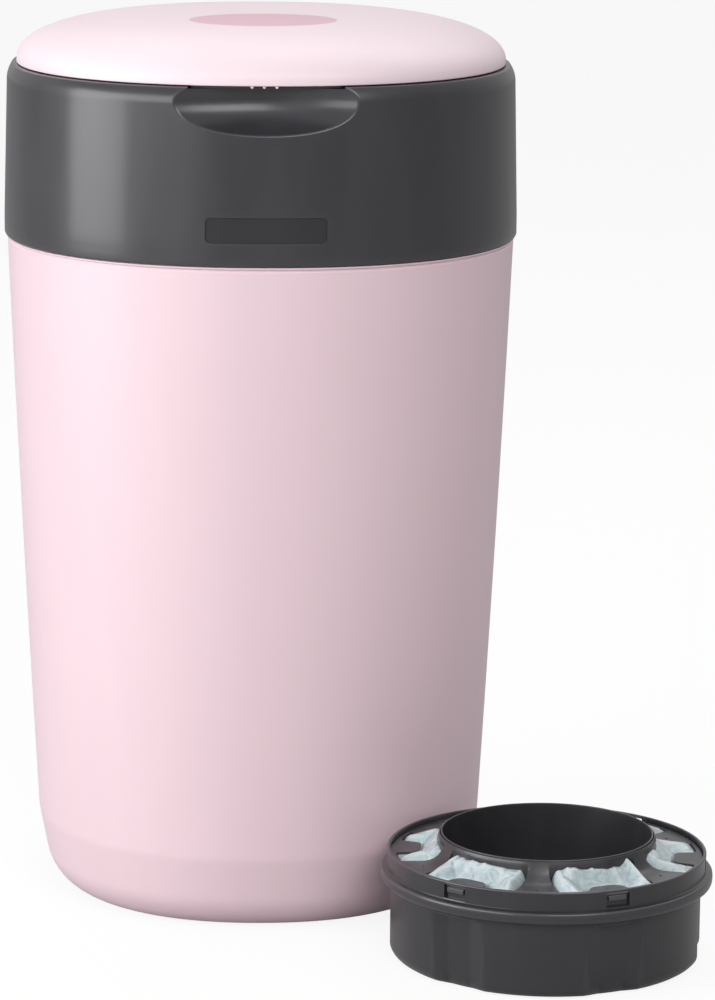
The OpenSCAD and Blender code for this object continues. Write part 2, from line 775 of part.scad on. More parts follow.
module ratchet_ring() {
    color(dark_grey) translate([0, 0, cradle_flange_top]) linear_extrude(ratchet_thickness) difference() {
        polygon([for (k = [0 : tooth_count - 1], edge = [0, 1])
            let (t = 360 * (k + 0.15 * edge) / tooth_count, r = ratchet_outer - tooth_depth * edge)
                [r * cos(t), r * sin(t)]]);
        circle(r = ratchet_inner);
    }
}

module twist_ring() {
    grip_middle = (twist_inner + twist_outer) / 2;
    color("#6a6a70") {
        annulus(twist_outer, twist_inner, ratchet_top, twist_top);
        for (side = [0, 180]) rotate([0, 0, side]) translate([0, 0, twist_top])
            rotate([0, 0, -grip_angle / 2]) rotate_extrude(angle = grip_angle) polygon([
                [grip_middle - grip_thickness / 2, 0],
                [grip_middle + grip_thickness / 2, 0],
                [grip_middle + grip_thickness / 2, grip_height - 2],
                [grip_middle + grip_thickness / 2 - 1.5, grip_height],
                [grip_middle - grip_thickness / 2 + 1.5, grip_height],
                [grip_middle - grip_thickness / 2, grip_height - 2]]);
    }
}

module click_pawl() {
    color(dark_grey) translate([0, 0, pawl_bottom]) linear_extrude(pawl_thickness) difference() {
        union() {
            translate(pawl_axis) circle(r = 4);
            polygon([
                pawl_axis + [-3.6, -1.6],
                pawl_axis + [3.9, 1],
                pawl_tip + [4, 1.5],
                pawl_tip + [0.6, 1.2],
                pawl_tip + [0, 0],
                pawl_tip + [2, -5]]);
        }
        translate(pawl_axis) circle(r = pawl_pin_radius + pin_clearance);
    }
}

module pawl_pin() {
    head = spring_bottom + spring_height + 0.2;
    color(steel) translate([pawl_axis[0], pawl_axis[1], 0]) {
        translate([0, 0, pawl_bottom - 0.2]) cylinder(r = pawl_pin_radius, h = head - pawl_bottom + 0.2);
        translate([0, 0, head]) cylinder(r = 3.4, h = 1);
    }
}

// Torsion spring round the pawl pin, with one leg over the pawl and one against a post on the deck
module pawl_spring() {
    wire = 0.9;
    color(steel) translate([0, 0, spring_bottom]) {
        translate(pawl_axis) difference() {
            cylinder(r = 3, h = spring_height);
            translate([0, 0, -1]) cylinder(r = 2, h = spring_height + 2);
        }
        translate([pawl_axis[0] - 2.6, pawl_axis[1], 0]) rotate([0, 0, 28])
            translate([-wire / 2, 0, 0]) cube([wire, 11, wire]);
        translate([pawl_axis[0] + 2.2, pawl_axis[1] - 10.4, 0]) cube([wire, 10.4, wire]);
    }
}

// ------------------------------ cassette, in its own frame with its base at zero

module around_cassette(offset_turn) {
    for (k = [0 : cassette_repeats - 1])
        rotate([0, 0, -90 - cassette_turn + offset_turn + k * repeat_angle]) children();
}

module tray_form() {
    corner = [for (k = [0 : 6]) let (t = -90 + 15 * k)
        [cassette_radius - cassette_round * (1 - cos(t)), cassette_round * (1 + sin(t))]];
    difference() {
        rotate_extrude() polygon(concat(
            [[tube_inner, 0]],
            corner,
            [[cassette_radius, flange_height],
             [flange_radius - 1.2, flange_height + 0.6],
             [flange_radius, flange_height + 2],
             [flange_radius, flange_height + flange_thickness],
             [band_radius, flange_height + flange_thickness + 0.8],
             [band_radius, lip_height - 0.6],
             [band_radius - 0.6, lip_height],
             [cover_radius + 0.3, lip_height],
             [cover_radius, lip_height - 0.4],
             [cover_radius, cover_seat],
             [cassette_inner, cover_seat],
             [cassette_inner, cassette_floor + 4],
             [cassette_inner - 4, cassette_floor],
             [tube_radius + 1.5, cassette_floor],
             [tube_radius, cassette_floor + 1.5],
             [tube_radius, tube_height - 0.8],
             [tube_radius - 0.7, tube_height],
             [tube_inner + 0.7, tube_height],
             [tube_inner, tube_height - 0.8]]));
        around_cassette(0) {
            translate([cover_radius - 0.5, -window_width / 2, window_top - window_height])
                cube([4, window_width, window_height]);
            translate([0, 0, -1]) linear_extrude(flange_height - 1) difference() {
                polygon(wedge(cassette_radius + 4, panel_half_angle));
                circle(r = cassette_radius - panel_depth);
            }
        }
    }
}

module cover_outline() {
    hub = tube_radius + collar_gap;
    inner = hub + 2.2;
    outer = cover_radius - 2.6;
    difference() {
        circle(r = cover_radius - 0.2);
        circle(r = hub);
        around_cassette(0) difference() {
            intersection() {
                difference() {
                    circle(r = outer);
                    circle(r = inner);
                }
                polygon([
                    [0, 0],
                    [outer * 1.3, -outer * 1.3 * tan(repeat_angle / 2)],
                    [outer * 1.3, outer * 1.3 * tan(repeat_angle / 2)]]);
            }
            for (side = [-1, 1]) rotate([0, 0, side * repeat_angle / 2])
                polygon([
                    [inner - 3, -bridge_inner_width / 2],
                    [outer + 3, -bridge_outer_width / 2],
                    [outer + 3, bridge_outer_width / 2],
                    [inner - 3, bridge_inner_width / 2]]);
            hull() {
                translate([outer - tab_length + 4, -tab_width / 2 + 4]) circle(r = 4);
                translate([outer - tab_length + 4, tab_width / 2 - 4]) circle(r = 4);
                translate([outer + 2, -tab_width / 2 - 3]) square([1, tab_width + 6]);
            }
        }
    }
}

module cover_form() {
    translate([0, 0, cover_seat]) linear_extrude(cover_thickness) cover_outline();
    rotate_extrude() polygon([
        [collar_inner, cover_seat],
        [collar_inner + 2.2, cover_seat],
        [collar_inner + 2.2, cover_seat + cover_thickness + 1],
        [collar_inner + 1, lip_height],
        [collar_inner + 1, tube_height - 1],
        [collar_inner + 0.6, tube_height - 0.6],
        [collar_inner, tube_height - 0.6]]);
    around_cassette(0) translate([cover_radius - 0.8, -window_width / 2 + 1.2, cover_seat + 0.1])
        cube([1.8, window_width - 2.4, cover_thickness - 0.2]);
}

module film_form() {
    low = tube_radius + 2;
    high = cassette_inner - 5;
    top = cover_seat - 0.4;
    rotate_extrude() polygon([
        [low, cassette_floor],
        [high, cassette_floor],
        [cassette_inner - film_gap, cassette_floor + 6],
        [cassette_inner - film_gap, top - 3],
        [high + 1, top],
        [low + 1, top],
        [tube_radius + film_gap, top - 3],
        [tube_radius + film_gap, cassette_floor + 4]]);
}

module seated() {
    translate([0, 0, cassette_base]) children();
}

// Beside the tub, with the flange a small gap away from the tub's side
module beside() {
    foot = tub_half(flange_height + flange_thickness);
    p = section_point(foot, -spare_turn);
    away = section_normal(-spare_turn) * (flange_radius + spare_gap);
    translate([p[0] + away[0], p[1] + away[1], 0]) children();
}

module cassette_tray() {
    color(charcoal) seated() tray_form();
}

module cassette_cover() {
    color("#7d7e84") seated() cover_form();
}

module cassette_film() {
    color(mint) seated() film_form();
}

module spare_tray() {
    color(charcoal) beside() tray_form();
}

module spare_cover() {
    color("#7d7e84") beside() cover_form();
}

module spare_film() {
    color(mint) beside() film_form();
}

// ---------------------------------------------------------------- lid

module lid_hinge_pin() {
    color(steel) cross_bar(lid_axis, lid_pin_radius, -lid_pin_half, lid_pin_half);
}

module lid_cover() {
    steps = [0.12, 0.3, 0.48, 0.64, 0.78, 0.88, 0.95, 0.985];
    inner_half = lid_half_width - lid_wall;
    color(light_pink) difference() {
        loft(concat(
            [for (s = steps) [s * (inner_half - 2.4),
                dome_height(s * (inner_half - 2.4), inner_half, dome_base, dome_rise - lid_wall)]],
            [[inner_half - 2.4, liner_top],
             [inner_half, liner_top],
             [inner_half, lid_bottom],
             [lid_half_width - 0.5, lid_bottom],
             [lid_half_width, lid_bottom + 0.6],
             [lid_half_width, dome_base]],
            [for (k = [1 : len(steps)]) let (s = k == 1 ? 0.993 : steps[len(steps) - k])
                [s * lid_half_width,
                 dome_height(s * lid_half_width, lid_half_width, dome_base, dome_rise)]]));
        translate([-lid_barrel_half - 0.8, (lid_half_width - 40) * depth_ratio, lid_bottom - 1])
            cube([2 * lid_barrel_half + 1.6, 60 * depth_ratio, liner_top - lid_bottom + 1.2]);
    }
}

module lid_liner() {
    arm_root = liner_half * depth_ratio - 3;
    color(charcoal) difference() {
        union() {
            section_plate(liner_half, liner_bottom, liner_top);
            section_hoop(plug_half, plug_half - plug_wall, liner_bottom - plug_depth, liner_bottom + 1);
            cross_plate([
                [arm_root, liner_bottom + 0.5],
                [rim_outer * depth_ratio + 0.8, liner_bottom - 0.6],
                [lid_axis[0] - lid_barrel_radius * 0.7, lid_axis[1] + 0.5],
                [lid_axis[0] + lid_barrel_radius * 0.6, lid_axis[1] + lid_barrel_radius * 0.75],
                [lid_axis[0] - 6, liner_top],
                [arm_root, liner_top]], -lid_barrel_half, lid_barrel_half);
            cross_bar(lid_axis, lid_barrel_radius, -lid_barrel_half, lid_barrel_half);
            front_arc(lip_half_length, lip_outer, lip_inner, lip_bottom, lip_top);
            front_arc(lip_half_length, liner_half, lip_inner, lip_top - 0.3, liner_bottom + 0.5);
            for (k = [0 : pip_count - 1])
                translate([(k - (pip_count - 1) / 2) * pip_pitch, 1.2 - lip_outer * depth_ratio, 0])
                    translate([0, 0, lip_bottom - 0.8]) cylinder(r = 0.8, h = 1.2);
        }
        cross_bar(lid_axis, lid_pin_radius + pin_clearance, -lid_pin_half, lid_pin_half);
    }
}

module lid_seal() {
    outer = rim_opening + 1.5 + seal_width;
    color(rubber) section_hoop(outer, outer - seal_width, rim_height + seal_gap, liner_bottom);
}

tub();
main_hinge_pin();
top_housing();
deck();
deck_screws();
film_gripper();
cutter_guard();
cutter_blade();
front_catch();
catch_pin();
cradle();
ratchet_ring();
twist_ring();
click_pawl();
pawl_pin();
pawl_spring();
cassette_tray();
cassette_cover();
cassette_film();
lid_hinge_pin();
lid_cover();
lid_liner();
lid_seal();
spare_tray();
spare_cover();
spare_film();
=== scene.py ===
"""Looks of a nappy bin: its tub, top unit, domed lid, twist mechanism and two refill cassettes.

Sizes are in millimetres and places in the bin's own frame: +Z is up, the front faces -Y, and the origin is on
the floor under the middle of the tub. Every piece ends in metres, with its object at the origin.
"""
import json
import logging
import math
from collections.abc import Callable, Iterable, Iterator, Sequence
from contextlib import contextmanager
from dataclasses import dataclass
from enum import Enum
from itertools import pairwise

import bpy
from mathutils import Matrix, Vector, noise

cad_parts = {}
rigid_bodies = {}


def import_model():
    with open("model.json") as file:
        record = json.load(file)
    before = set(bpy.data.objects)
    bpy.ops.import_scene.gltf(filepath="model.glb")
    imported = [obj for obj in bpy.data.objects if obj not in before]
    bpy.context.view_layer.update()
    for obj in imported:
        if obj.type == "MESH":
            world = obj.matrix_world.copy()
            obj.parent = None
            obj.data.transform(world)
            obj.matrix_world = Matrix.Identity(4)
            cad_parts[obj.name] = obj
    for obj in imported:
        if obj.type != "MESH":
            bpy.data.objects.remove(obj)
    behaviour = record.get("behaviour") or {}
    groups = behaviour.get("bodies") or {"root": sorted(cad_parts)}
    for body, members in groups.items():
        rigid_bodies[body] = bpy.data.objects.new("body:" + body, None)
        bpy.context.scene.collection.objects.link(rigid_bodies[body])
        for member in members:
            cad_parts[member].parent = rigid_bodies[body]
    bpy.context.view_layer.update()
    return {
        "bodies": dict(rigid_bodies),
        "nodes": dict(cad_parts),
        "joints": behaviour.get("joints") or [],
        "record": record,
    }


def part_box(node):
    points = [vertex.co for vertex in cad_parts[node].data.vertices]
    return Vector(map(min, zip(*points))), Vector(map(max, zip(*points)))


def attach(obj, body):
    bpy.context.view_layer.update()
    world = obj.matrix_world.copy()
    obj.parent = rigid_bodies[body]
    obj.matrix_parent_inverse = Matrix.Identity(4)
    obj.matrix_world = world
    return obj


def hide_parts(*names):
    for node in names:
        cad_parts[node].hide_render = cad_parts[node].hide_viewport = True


MM = 0.001
# Points of a drawn form, or of a copied solid, that lie closer together than this in millimetres are one.
SAME_POINT = 0.004
SAME_CORNER = 0.002
# Faces of a copied solid that meet flatter than this in degrees are one.
FLAT_BEND = 0.8
Spot = tuple[float, float]
Piece = bpy.types.Object
Socket = bpy.types.NodeSocket
Profile = Sequence[Spot]
log = logging.getLogger("nappy_bin")


# ------------------------------------------------------------------ drawing values


class Along(Enum):
    """Direction in which an outline is drawn out into a solid."""

    X = "x"
    Y = "y"
    Z = "z"

    def place(self, across: float, up: float, out: float) -> Vector:
        """Turns a point of an outline and its distance along the direction into a place in metres."""
        places = {Along.X: (out, across, up), Along.Y: (across, out, up), Along.Z: (across, up, out)}
        return Vector(places[self]) * MM


@dataclass(frozen=True)
class Section:
    """Outline that every ring of a lofted form follows, seen from above.

    Attributes:
        squareness: 2 for an ellipse, more for squarer corners.
        depth_ratio: Depth of the outline over its width.
        points: Number of points round the outline.
    """

    squareness: float = 2.0
    depth_ratio: float = 1.0
    points: int = 192

    def point(self, half: float, turn: float) -> Vector:
        """Gives a point of the outline.

        Args:
            half: Half width of the outline in millimetres.
            turn: Turn of the point in radians, from +X towards +Y.

        Returns:
            The point, seen from above.
        """
        c, s = math.cos(turn), math.sin(turn)
        power = 2 / self.squareness
        return Vector((half * math.copysign(abs(c) ** power, c),
                       half * self.depth_ratio * math.copysign(abs(s) ** power, s)))

    def reach(self, point: Vector) -> float:
        """Gives the half width of the outline that runs through a point in millimetres."""
        power = self.squareness
        return (abs(point.x) ** power + abs(point.y / self.depth_ratio) ** power) ** (1 / power)

    def front(self, half: float, x: float) -> float:
        """Gives how far back (Y) the front of the outline of a half width lies at a place across it."""
        power = self.squareness
        return -self.depth_ratio * (half ** power - abs(x) ** power) ** (1 / power)


BODY = Section(squareness=2.18, depth_ratio=280 / 265, points=184)


def arc(centre: Spot, radius: float, start: float, end: float, steps: int = 4) -> list[Spot]:
    """Gives points of a profile along an arc.

    Args:
        centre: Centre as (half width, height).
        radius: Radius of the arc.
        start: First angle in degrees, from the outward direction upwards.
        end: Last angle in degrees.
        steps: Number of stretches.

    Returns:
        Points as (half width, height).
    """
    angles = [math.radians(start + (end - start) * k / steps) for k in range(steps + 1)]
    return [(centre[0] + radius * math.cos(t), centre[1] + radius * math.sin(t)) for t in angles]


def ease(low: float, high: float, value: float) -> float:
    """Rises smoothly from 0 at low to 1 at high."""
    t = min(1.0, max(0.0, (value - low) / (high - low)))
    return t * t * (3 - 2 * t)


# ------------------------------------------------------------------ work with the operators


def take(*pieces: Piece) -> None:
    """Leaves edit mode and selects only these pieces, with the first one active.

    Args:
        pieces: Pieces to select; with none, nothing is selected.
    """
    if bpy.context.mode != "OBJECT":
        bpy.ops.object.mode_set(mode="OBJECT")
    bpy.ops.object.select_all(action="DESELECT")
    for piece in pieces:
        piece.select_set(True)
    if pieces:
        bpy.context.view_layer.objects.active = pieces[0]


@contextmanager
def editing(piece: Piece) -> Iterator[None]:
    """Opens a piece for editing with everything in it selected, and closes it again.

    Args:
        piece: The piece.

    Yields:
        Nothing, while the piece is open.
    """
    take(piece)
    bpy.ops.object.mode_set(mode="EDIT")
    bpy.ops.mesh.select_all(action="SELECT")
    yield
    bpy.ops.object.mode_set(mode="OBJECT")


def named(name: str) -> Piece:
    """Names the primitive that has just been added and gives it back.

    Args:
        name: Its name.

    Returns:
        The primitive.
    """
    piece = bpy.context.object
    piece.name = piece.data.name = name
    return piece


def remove(*pieces: Piece) -> None:
    """Deletes pieces that were only tools or models for copies."""
    take(*pieces)
    bpy.ops.object.delete()


def settle(piece: Piece) -> Piece:
    """Puts the piece's place into its mesh, merges doubles and turns its faces outwards.

    Args:
        piece: The piece.

    Returns:
        The same piece.
    """
    take(piece)
    bpy.ops.object.transform_apply(location=True, rotation=True, scale=True)
    with editing(piece):
        bpy.ops.mesh.remove_doubles(threshold=SAME_POINT * MM)
        bpy.ops.mesh.normals_make_consistent(inside=False)
    return piece


def weld(piece: Piece, gap: float) -> None:
    """Merges the points of a piece that lie closer together than a gap in millimetres."""
    with editing(piece):
        bpy.ops.mesh.remove_doubles(threshold=gap * MM)


def apply(piece: Piece, kind: str, **settings: object) -> None:
    """Adds one modifier with its settings and applies it.

    Args:
        piece: The piece.
        kind: Blender's name for the modifier.
        settings: Values of its properties.
    """
    take(piece)
    modifier = piece.modifiers.new(kind.title(), kind)
    for key, value in settings.items():
        setattr(modifier, key, value)
    bpy.ops.object.modifier_apply(modifier=modifier.name)


def round_edges(piece: Piece, width: float, sharper: float = 32, segments: int = 3) -> None:
    """Rounds every edge that is sharper than an angle.

    Args:
        piece: The piece to round.
        width: Width of the rounding in millimetres.
        sharper: Angle in degrees.
        segments: Number of faces across the rounding.
    """
    apply(piece, "BEVEL", width=width * MM, segments=segments, limit_method="ANGLE",
          angle_limit=math.radians(sharper), use_clamp_overlap=True)


def shade(piece: Piece, flatter: float = 34) -> None:
    """Shades a piece smooth where its faces meet flatter than an angle.

    Args:
        piece: The piece.
        flatter: The angle in degrees.
    """
    take(piece)
    bpy.ops.object.shade_smooth_by_angle(angle=math.radians(flatter), keep_sharp_edges=False)
    apply(piece, "WEIGHTED_NORMAL", keep_sharp=True, weight=50)


class How(Enum):
    """What a tool does to a piece.

    Attributes:
        JOIN: It is added to the piece.
        CUT: It is taken away from the piece.
        SHARE: Only what both have in common stays.
    """

    JOIN = "UNION"
    CUT = "DIFFERENCE"
    SHARE = "INTERSECT"


def combine(piece: Piece, tool: Piece, how: How) -> None:
    """Combines a piece with a tool, and removes the tool."""
    apply(piece, "BOOLEAN", operation=how.value, object=tool, solver="EXACT")
    remove(tool)


def draw(points: Sequence[Vector], name: str, filled: bool) -> Piece:
    """Starts a form from a circle whose points are set onto an outline, and leaves it open for editing.

    Args:
        points: Points of the outline, in metres.
        name: Name of the piece.
        filled: True where a face spans the outline, False where it stays open.

    Returns:
        The piece, open for editing with all of it selected.
    """
    take()
    bpy.ops.mesh.primitive_circle_add(
        vertices=len(points), radius=MM, fill_type="NGON" if filled else "NOTHING", location=(0, 0, 0))
    piece = named(name)
    for vertex, point in zip(piece.data.vertices, points):
        vertex.co = point
    bpy.ops.object.mode_set(mode="EDIT")
    bpy.ops.mesh.select_all(action="SELECT")
    return piece


def loft(name: str, section: Section, profile: Profile, closed: bool = True) -> Piece:
    """Draws a ring up through a profile.

    Args:
        name: Name of the piece.
        section: Outline of every ring.
        profile: Half width and height of each ring, in millimetres.
        closed: True where the last ring joins the first, False where both ends are capped.

    Returns:
        The piece, closed and with its faces outwards.
    """
    half, height = profile[0]
    turns = [2 * math.pi * k / section.points for k in range(section.points)]
    piece = draw([Vector((*section.point(half, t), height)) * MM for t in turns], name, filled=False)
    for (a, z), (b, w) in pairwise(profile):
        bpy.ops.mesh.extrude_region_move(TRANSFORM_OT_translate={"value": (0, 0, (w - z) * MM)})
        bpy.ops.transform.resize(value=(b / a, b / a, 1), center_override=(0, 0, w * MM))
    bpy.ops.mesh.select_all(action="DESELECT")
    bpy.ops.mesh.select_mode(type="EDGE")
    bpy.ops.mesh.select_non_manifold(extend=False, use_wire=False, use_multi_face=False,
                                     use_non_contiguous=False, use_verts=False)
    if closed:
        bpy.ops.mesh.bridge_edge_loops()
    else:
        bpy.ops.mesh.fill_holes(sides=0)
    return settle(piece)


def slab(name: str, outline: Profile, along: Along, start: float, end: float) -> Piece:
    """Draws an outline out into a flat-ended solid.

    Args:
        name: Name of the piece.
        outline: Points of the outline: (y, z) along X, (x, z) along Y and (x, y) along Z.
        along: Direction to draw it out in.
        start: Where it starts along that direction.
        end: Where it ends.

    Returns:
        The solid.
    """
    piece = draw([along.place(a, b, start) for a, b in outline], name, filled=True)
    bpy.ops.mesh.extrude_region_move(TRANSFORM_OT_translate={"value": along.place(0, 0, end - start)})
    return settle(piece)


def rod(name: str, radius: float, start: Sequence[float], end: Sequence[float], sides: int = 48) -> Piece:
    """Adds a round bar.

    Args:
        name: Name of the piece.
        radius: Its radius in millimetres.
        start: Middle of one end, in millimetres.
        end: Middle of the other end.
        sides: Number of faces round it.

    Returns:
        The bar.
    """
    a, b = Vector(start) * MM, Vector(end) * MM
    take()
    bpy.ops.mesh.primitive_cylinder_add(
        vertices=sides, radius=radius * MM, depth=(b - a).length, location=(a + b) / 2,
        rotation=(b - a).to_track_quat("Z", "Y").to_euler())
    return settle(named(name))


def block(name: str, low: Sequence[float], high: Sequence[float]) -> Piece:
    """Adds a block between two corners.

    Args:
        name: Name of the piece.
        low: Left, front and lower corner, in millimetres.
        high: The corner opposite to it.

    Returns:
        The block.
    """
    a, b = Vector(low) * MM, Vector(high) * MM
    take()
    bpy.ops.mesh.primitive_cube_add(size=1, location=(a + b) / 2, scale=b - a)
    return settle(named(name))


@dataclass(frozen=True)
class Hinge:
    """Hinge that turns about X.

    Attributes:
        axis: Place of its axis as (y, z).
        barrel: Radius of its barrels.
        bore: Radius of the hole for its pin.
        way: How far that hole is cut to each side.
    """

    axis: Spot
    barrel: float
    bore: float
    way: float = 50.0

    def by(self, back: float, up: float) -> Spot:
        """Gives the place as (y, z) that lies so many barrel radii behind and above the axis."""
        return self.axis[0] + self.barrel * back, self.axis[1] + self.barrel * up

    def leaf(self, outline: Profile, ends: Sequence[float], rounding: float) -> Piece:
        """Builds one leaf with its barrel.

        Args:
            outline: Points of the leaf as (y, z).
            ends: Where it starts and ends along X, in either order.
            rounding: Width of the edge rounding.

        Returns:
            The leaf.
        """
        start, end = sorted(ends)
        leaf = slab("leaf", outline, Along.X, start, end)
        combine(leaf, rod("barrel", self.barrel, (start, *self.axis), (end, *self.axis)), How.JOIN)
        round_edges(leaf, rounding)
        return leaf

    def drill(self, piece: Piece) -> None:
        """Cuts the hole for the pin right through a piece."""
        combine(piece, rod("bore", self.bore, (-self.way, *self.axis), (self.way, *self.axis)), How.CUT)


TUB_HINGE = Hinge((148.5, 346.0), 5.0, 2.05)
LID_HINGE = Hinge((144.79, 434.5), 4.0, 1.55)


def around(count: int, first: float = 0.0) -> list[float]:
    """Gives the turns in radians of places spread evenly round the upright axis, from one in degrees."""
    return [math.radians(first + 360 * k / count) for k in range(count)]


def duplicate(piece: Piece, name: str) -> Piece:
    """Copies a piece, mesh and all.

    Args:
        piece: The piece.
        name: Name of the copy.

    Returns:
        The copy.
    """
    copy = piece.copy()
    copy.data = piece.data.copy()
    copy.name = copy.data.name = name
    bpy.context.collection.objects.link(copy)
    return copy


def placed(piece: Piece, name: str, place: Sequence[float] = (0, 0, 0), turn: float = 0.0) -> Piece:
    """Copies a piece, turns the copy and moves it.

    Args:
        piece: The piece.
        name: Name of the copy.
        place: How far it is moved, in millimetres.
        turn: Turn about the upright axis in radians.

    Returns:
        The copy.
    """
    copy = duplicate(piece, name)
    copy.location = Vector(place) * MM
    copy.rotation_euler = (0, 0, turn)
    take(copy)
    bpy.ops.object.transform_apply(location=True, rotation=True, scale=False)
    return copy


def reshape(piece: Piece, shift: Callable[[Vector], Vector]) -> None:
    """Moves each point of a mesh, as if it were sculpted by hand.

    Args:
        piece: The piece.
        shift: Gives the new place of a point, both in millimetres.
    """
    for vertex in piece.data.vertices:
        vertex.co = shift(vertex.co / MM) * MM
    piece.data.update()


def finished_copy(frame: dict, node: str, rounding: float) -> Piece:
    """Copies a solid part, merges its loose triangles and rounds its edges.

    Args:
        frame: The loaded frame.
        node: Name of the part.
        rounding: Width of the edge rounding in millimetres.

    Returns:
        The copy, which stands for the part.
    """
    piece = duplicate(frame["nodes"][node], f"{node}_finished")
    piece.parent = None
    piece.matrix_world = Matrix.Identity(4)
    with editing(piece):
        bpy.ops.mesh.remove_doubles(threshold=SAME_CORNER * MM)
        bpy.ops.mesh.dissolve_limited(angle_limit=math.radians(FLAT_BEND))
    round_edges(piece, rounding, segments=2)
    shade(piece)
    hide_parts(node)
    return piece


# ------------------------------------------------------------------ finishes


def linear(colour: str) -> tuple[float, float, float, float]:
    """Turns an sRGB colour written as #rrggbb into linear values with an alpha of 1."""
    values = [int(colour[k:k + 2], 16) / 255 for k in (1, 3, 5)]
    return (*[v / 12.92 if v <= 0.04045 else ((v + 0.055) / 1.055) ** 2.4 for v in values], 1.0)


class Nodes:
    """Node tree of a material or of the world."""

    def __init__(self, owner: bpy.types.Material | bpy.types.World) -> None:
        """Starts with an empty tree.

        Args:
            owner: Material or world that the tree belongs to.
        """
        owner.use_nodes = True
        self.tree = owner.node_tree
        self.tree.nodes.clear()

    def add(self, kind: str, inputs: dict, out: str | int = 0) -> Socket | None:
        """Adds a node with its settings and links.

        Args:
            kind: Blender's name of the node, without the "ShaderNode" before it.
            inputs: A value or a socket for each input, by name or number, and values of its properties.
            out: Name or number of the output that is asked for.

        Returns:
            That output, or None for the node that ends the tree.
        """
        made = self.tree.nodes.new(f"ShaderNode{kind}")
        for key, value in inputs.items():
            if isinstance(value, Socket):
                self.tree.links.new(value, made.inputs[key])
            elif isinstance(key, int) or key in made.inputs:
                made.inputs[key].default_value = value
            else:
                setattr(made, key, value)
        return made.outputs[out] if made.outputs else None


@dataclass(frozen=True)
class Finish:
    """What every finish has.

    Attributes:
        name: Name of the material.
        colour: Main colour.
        second: Colour of its marks.
    """

    name: str
    colour: str
    second: str

    def skin(self, nodes: Nodes, place: Socket) -> Socket:
        """Adds the nodes of the finish, fed by the place on the object, and gives their surface."""
        raise NotImplementedError

    def material(self) -> bpy.types.Material:
        """Builds the material.

        Returns:
            The material.
        """
        material = bpy.data.materials.new(self.name)
        nodes = Nodes(material)
        nodes.add("OutputMaterial", {"Surface": self.skin(nodes, nodes.add("TexCoord", {}, "Object"))})
        return material


@dataclass(frozen=True)
class MouldedPlastic(Finish):
    """Injection-moulded plastic: an even colour with faint flow marks, a fine moulded grain and soft gloss.

    The second colour is the lighter one of the edges, where it stands for rubbed wear and a painted
    highlight, and of the flow marks.

    Attributes:
        roughness: Roughness of the skin.
        grain: Distance between the grains of the moulded texture, in millimetres.
        relief: Height of the grain in millimetres.
        flow: Share of the second colour in the flow marks.
        flow_width: Distance between the flow marks in millimetres.
        edge: Share of the second colour on rubbed edges.
        gloss: Weight of a clear, smoother skin over the grain.
        oval: Half width, half depth and centre depth of an inlaid oval seen from above, or None.
        oval_colour: Colour of the oval.
    """

    roughness: float
    grain: float = 0.45
    relief: float = 0.012
    flow: float = 0.10
    # edge: Share of the second colour on convex edges, as rubbed wear and a painted highlight.
    flow_width: float = 26.0
    edge: float = 0.25
    gloss: float = 0.0
    oval: tuple[float, float, float] | None = None
    oval_colour: str = "#ffffff"

    def skin(self, nodes: Nodes, place: Socket) -> Socket:
        """Adds the plastic: grain, flow marks, and edges lightened as rubbed wear and a painted highlight.

        Args:
            nodes: The tree.
            place: Place on the object.

        Returns:
            Surface of the plastic.
        """
        # The grain is a spark-eroded texture, finer than a pixel from two metres: it softens the gloss.
        grain = nodes.add("TexNoise", {"Scale": 1 / (self.grain * MM), "Detail": 3.0, "Vector": place})
        # Flow marks run up the wall, the way the melt filled the mould, so they are drawn out along Z.
        drawn = nodes.add("Mapping", {"Scale": (1.0, 1.0, 0.22), "Vector": place})
        flow = nodes.add("TexNoise", {
            "Scale": 1 / (self.flow_width * MM), "Detail": 4.0, "Distortion": 0.6, "Vector": drawn})
        marks = nodes.add("MapRange", {
            "From Min": 0.42, "From Max": 0.75, "To Max": self.flow, "Value": flow})
        # Rubbed wear and painted highlight: convex edges, found by their pointiness, take the lighter second
        # colour.
        bend = nodes.add("NewGeometry", {}, "Pointiness")
        rubbed_and_highlit = nodes.add("MapRange", {
            "From Min": 0.505, "From Max": 0.56, "To Max": self.edge, "Value": bend})
        share = nodes.add("Math", {"operation": "MAXIMUM", 0: marks, 1: rubbed_and_highlit})
        colour = nodes.add("Mix", {
            "data_type": "RGBA", "Factor": share, 6: linear(self.colour), 7: linear(self.second)}, 2)
        if self.oval:
            colour = self.inlay(nodes, place, colour)
        rough = nodes.add("MapRange", {
            "From Min": 0.3, "From Max": 0.7, "To Min": self.roughness * 0.9,
            "To Max": self.roughness * 1.12, "Value": flow})
        relief = nodes.add("Bump", {"Strength": 0.5, "Distance": self.relief * MM, "Height": grain})
        return nodes.add("BsdfPrincipled", {
            "IOR": 1.49, "Coat Weight": self.gloss, "Coat Roughness": self.roughness * 0.5,
            "Base Color": colour, "Roughness": rough, "Normal": relief})

    def inlay(self, nodes: Nodes, place: Socket, colour: Socket) -> Socket:
        """Lays the plain oval into the colour round it.

        Args:
            nodes: The tree.
            place: Place on the object.
            colour: Colour round the oval.

        Returns:
            Colour with the oval in it.
        """
        half_width, half_depth, centre = self.oval
        oval = nodes.add("Mapping", {
            "Location": (0.0, -centre / half_depth, 0.0),
            "Scale": (1 / (half_width * MM), 1 / (half_depth * MM), 0.0), "Vector": place})
        reach = nodes.add("VectorMath", {"operation": "LENGTH", 0: oval}, "Value")
        inside = nodes.add("MapRange", {"From Min": 1.0, "From Max": 0.985, "Value": reach})
        return nodes.add("Mix", {
            "data_type": "RGBA", "Factor": inside, 6: colour, 7: linear(self.oval_colour)}, 2)


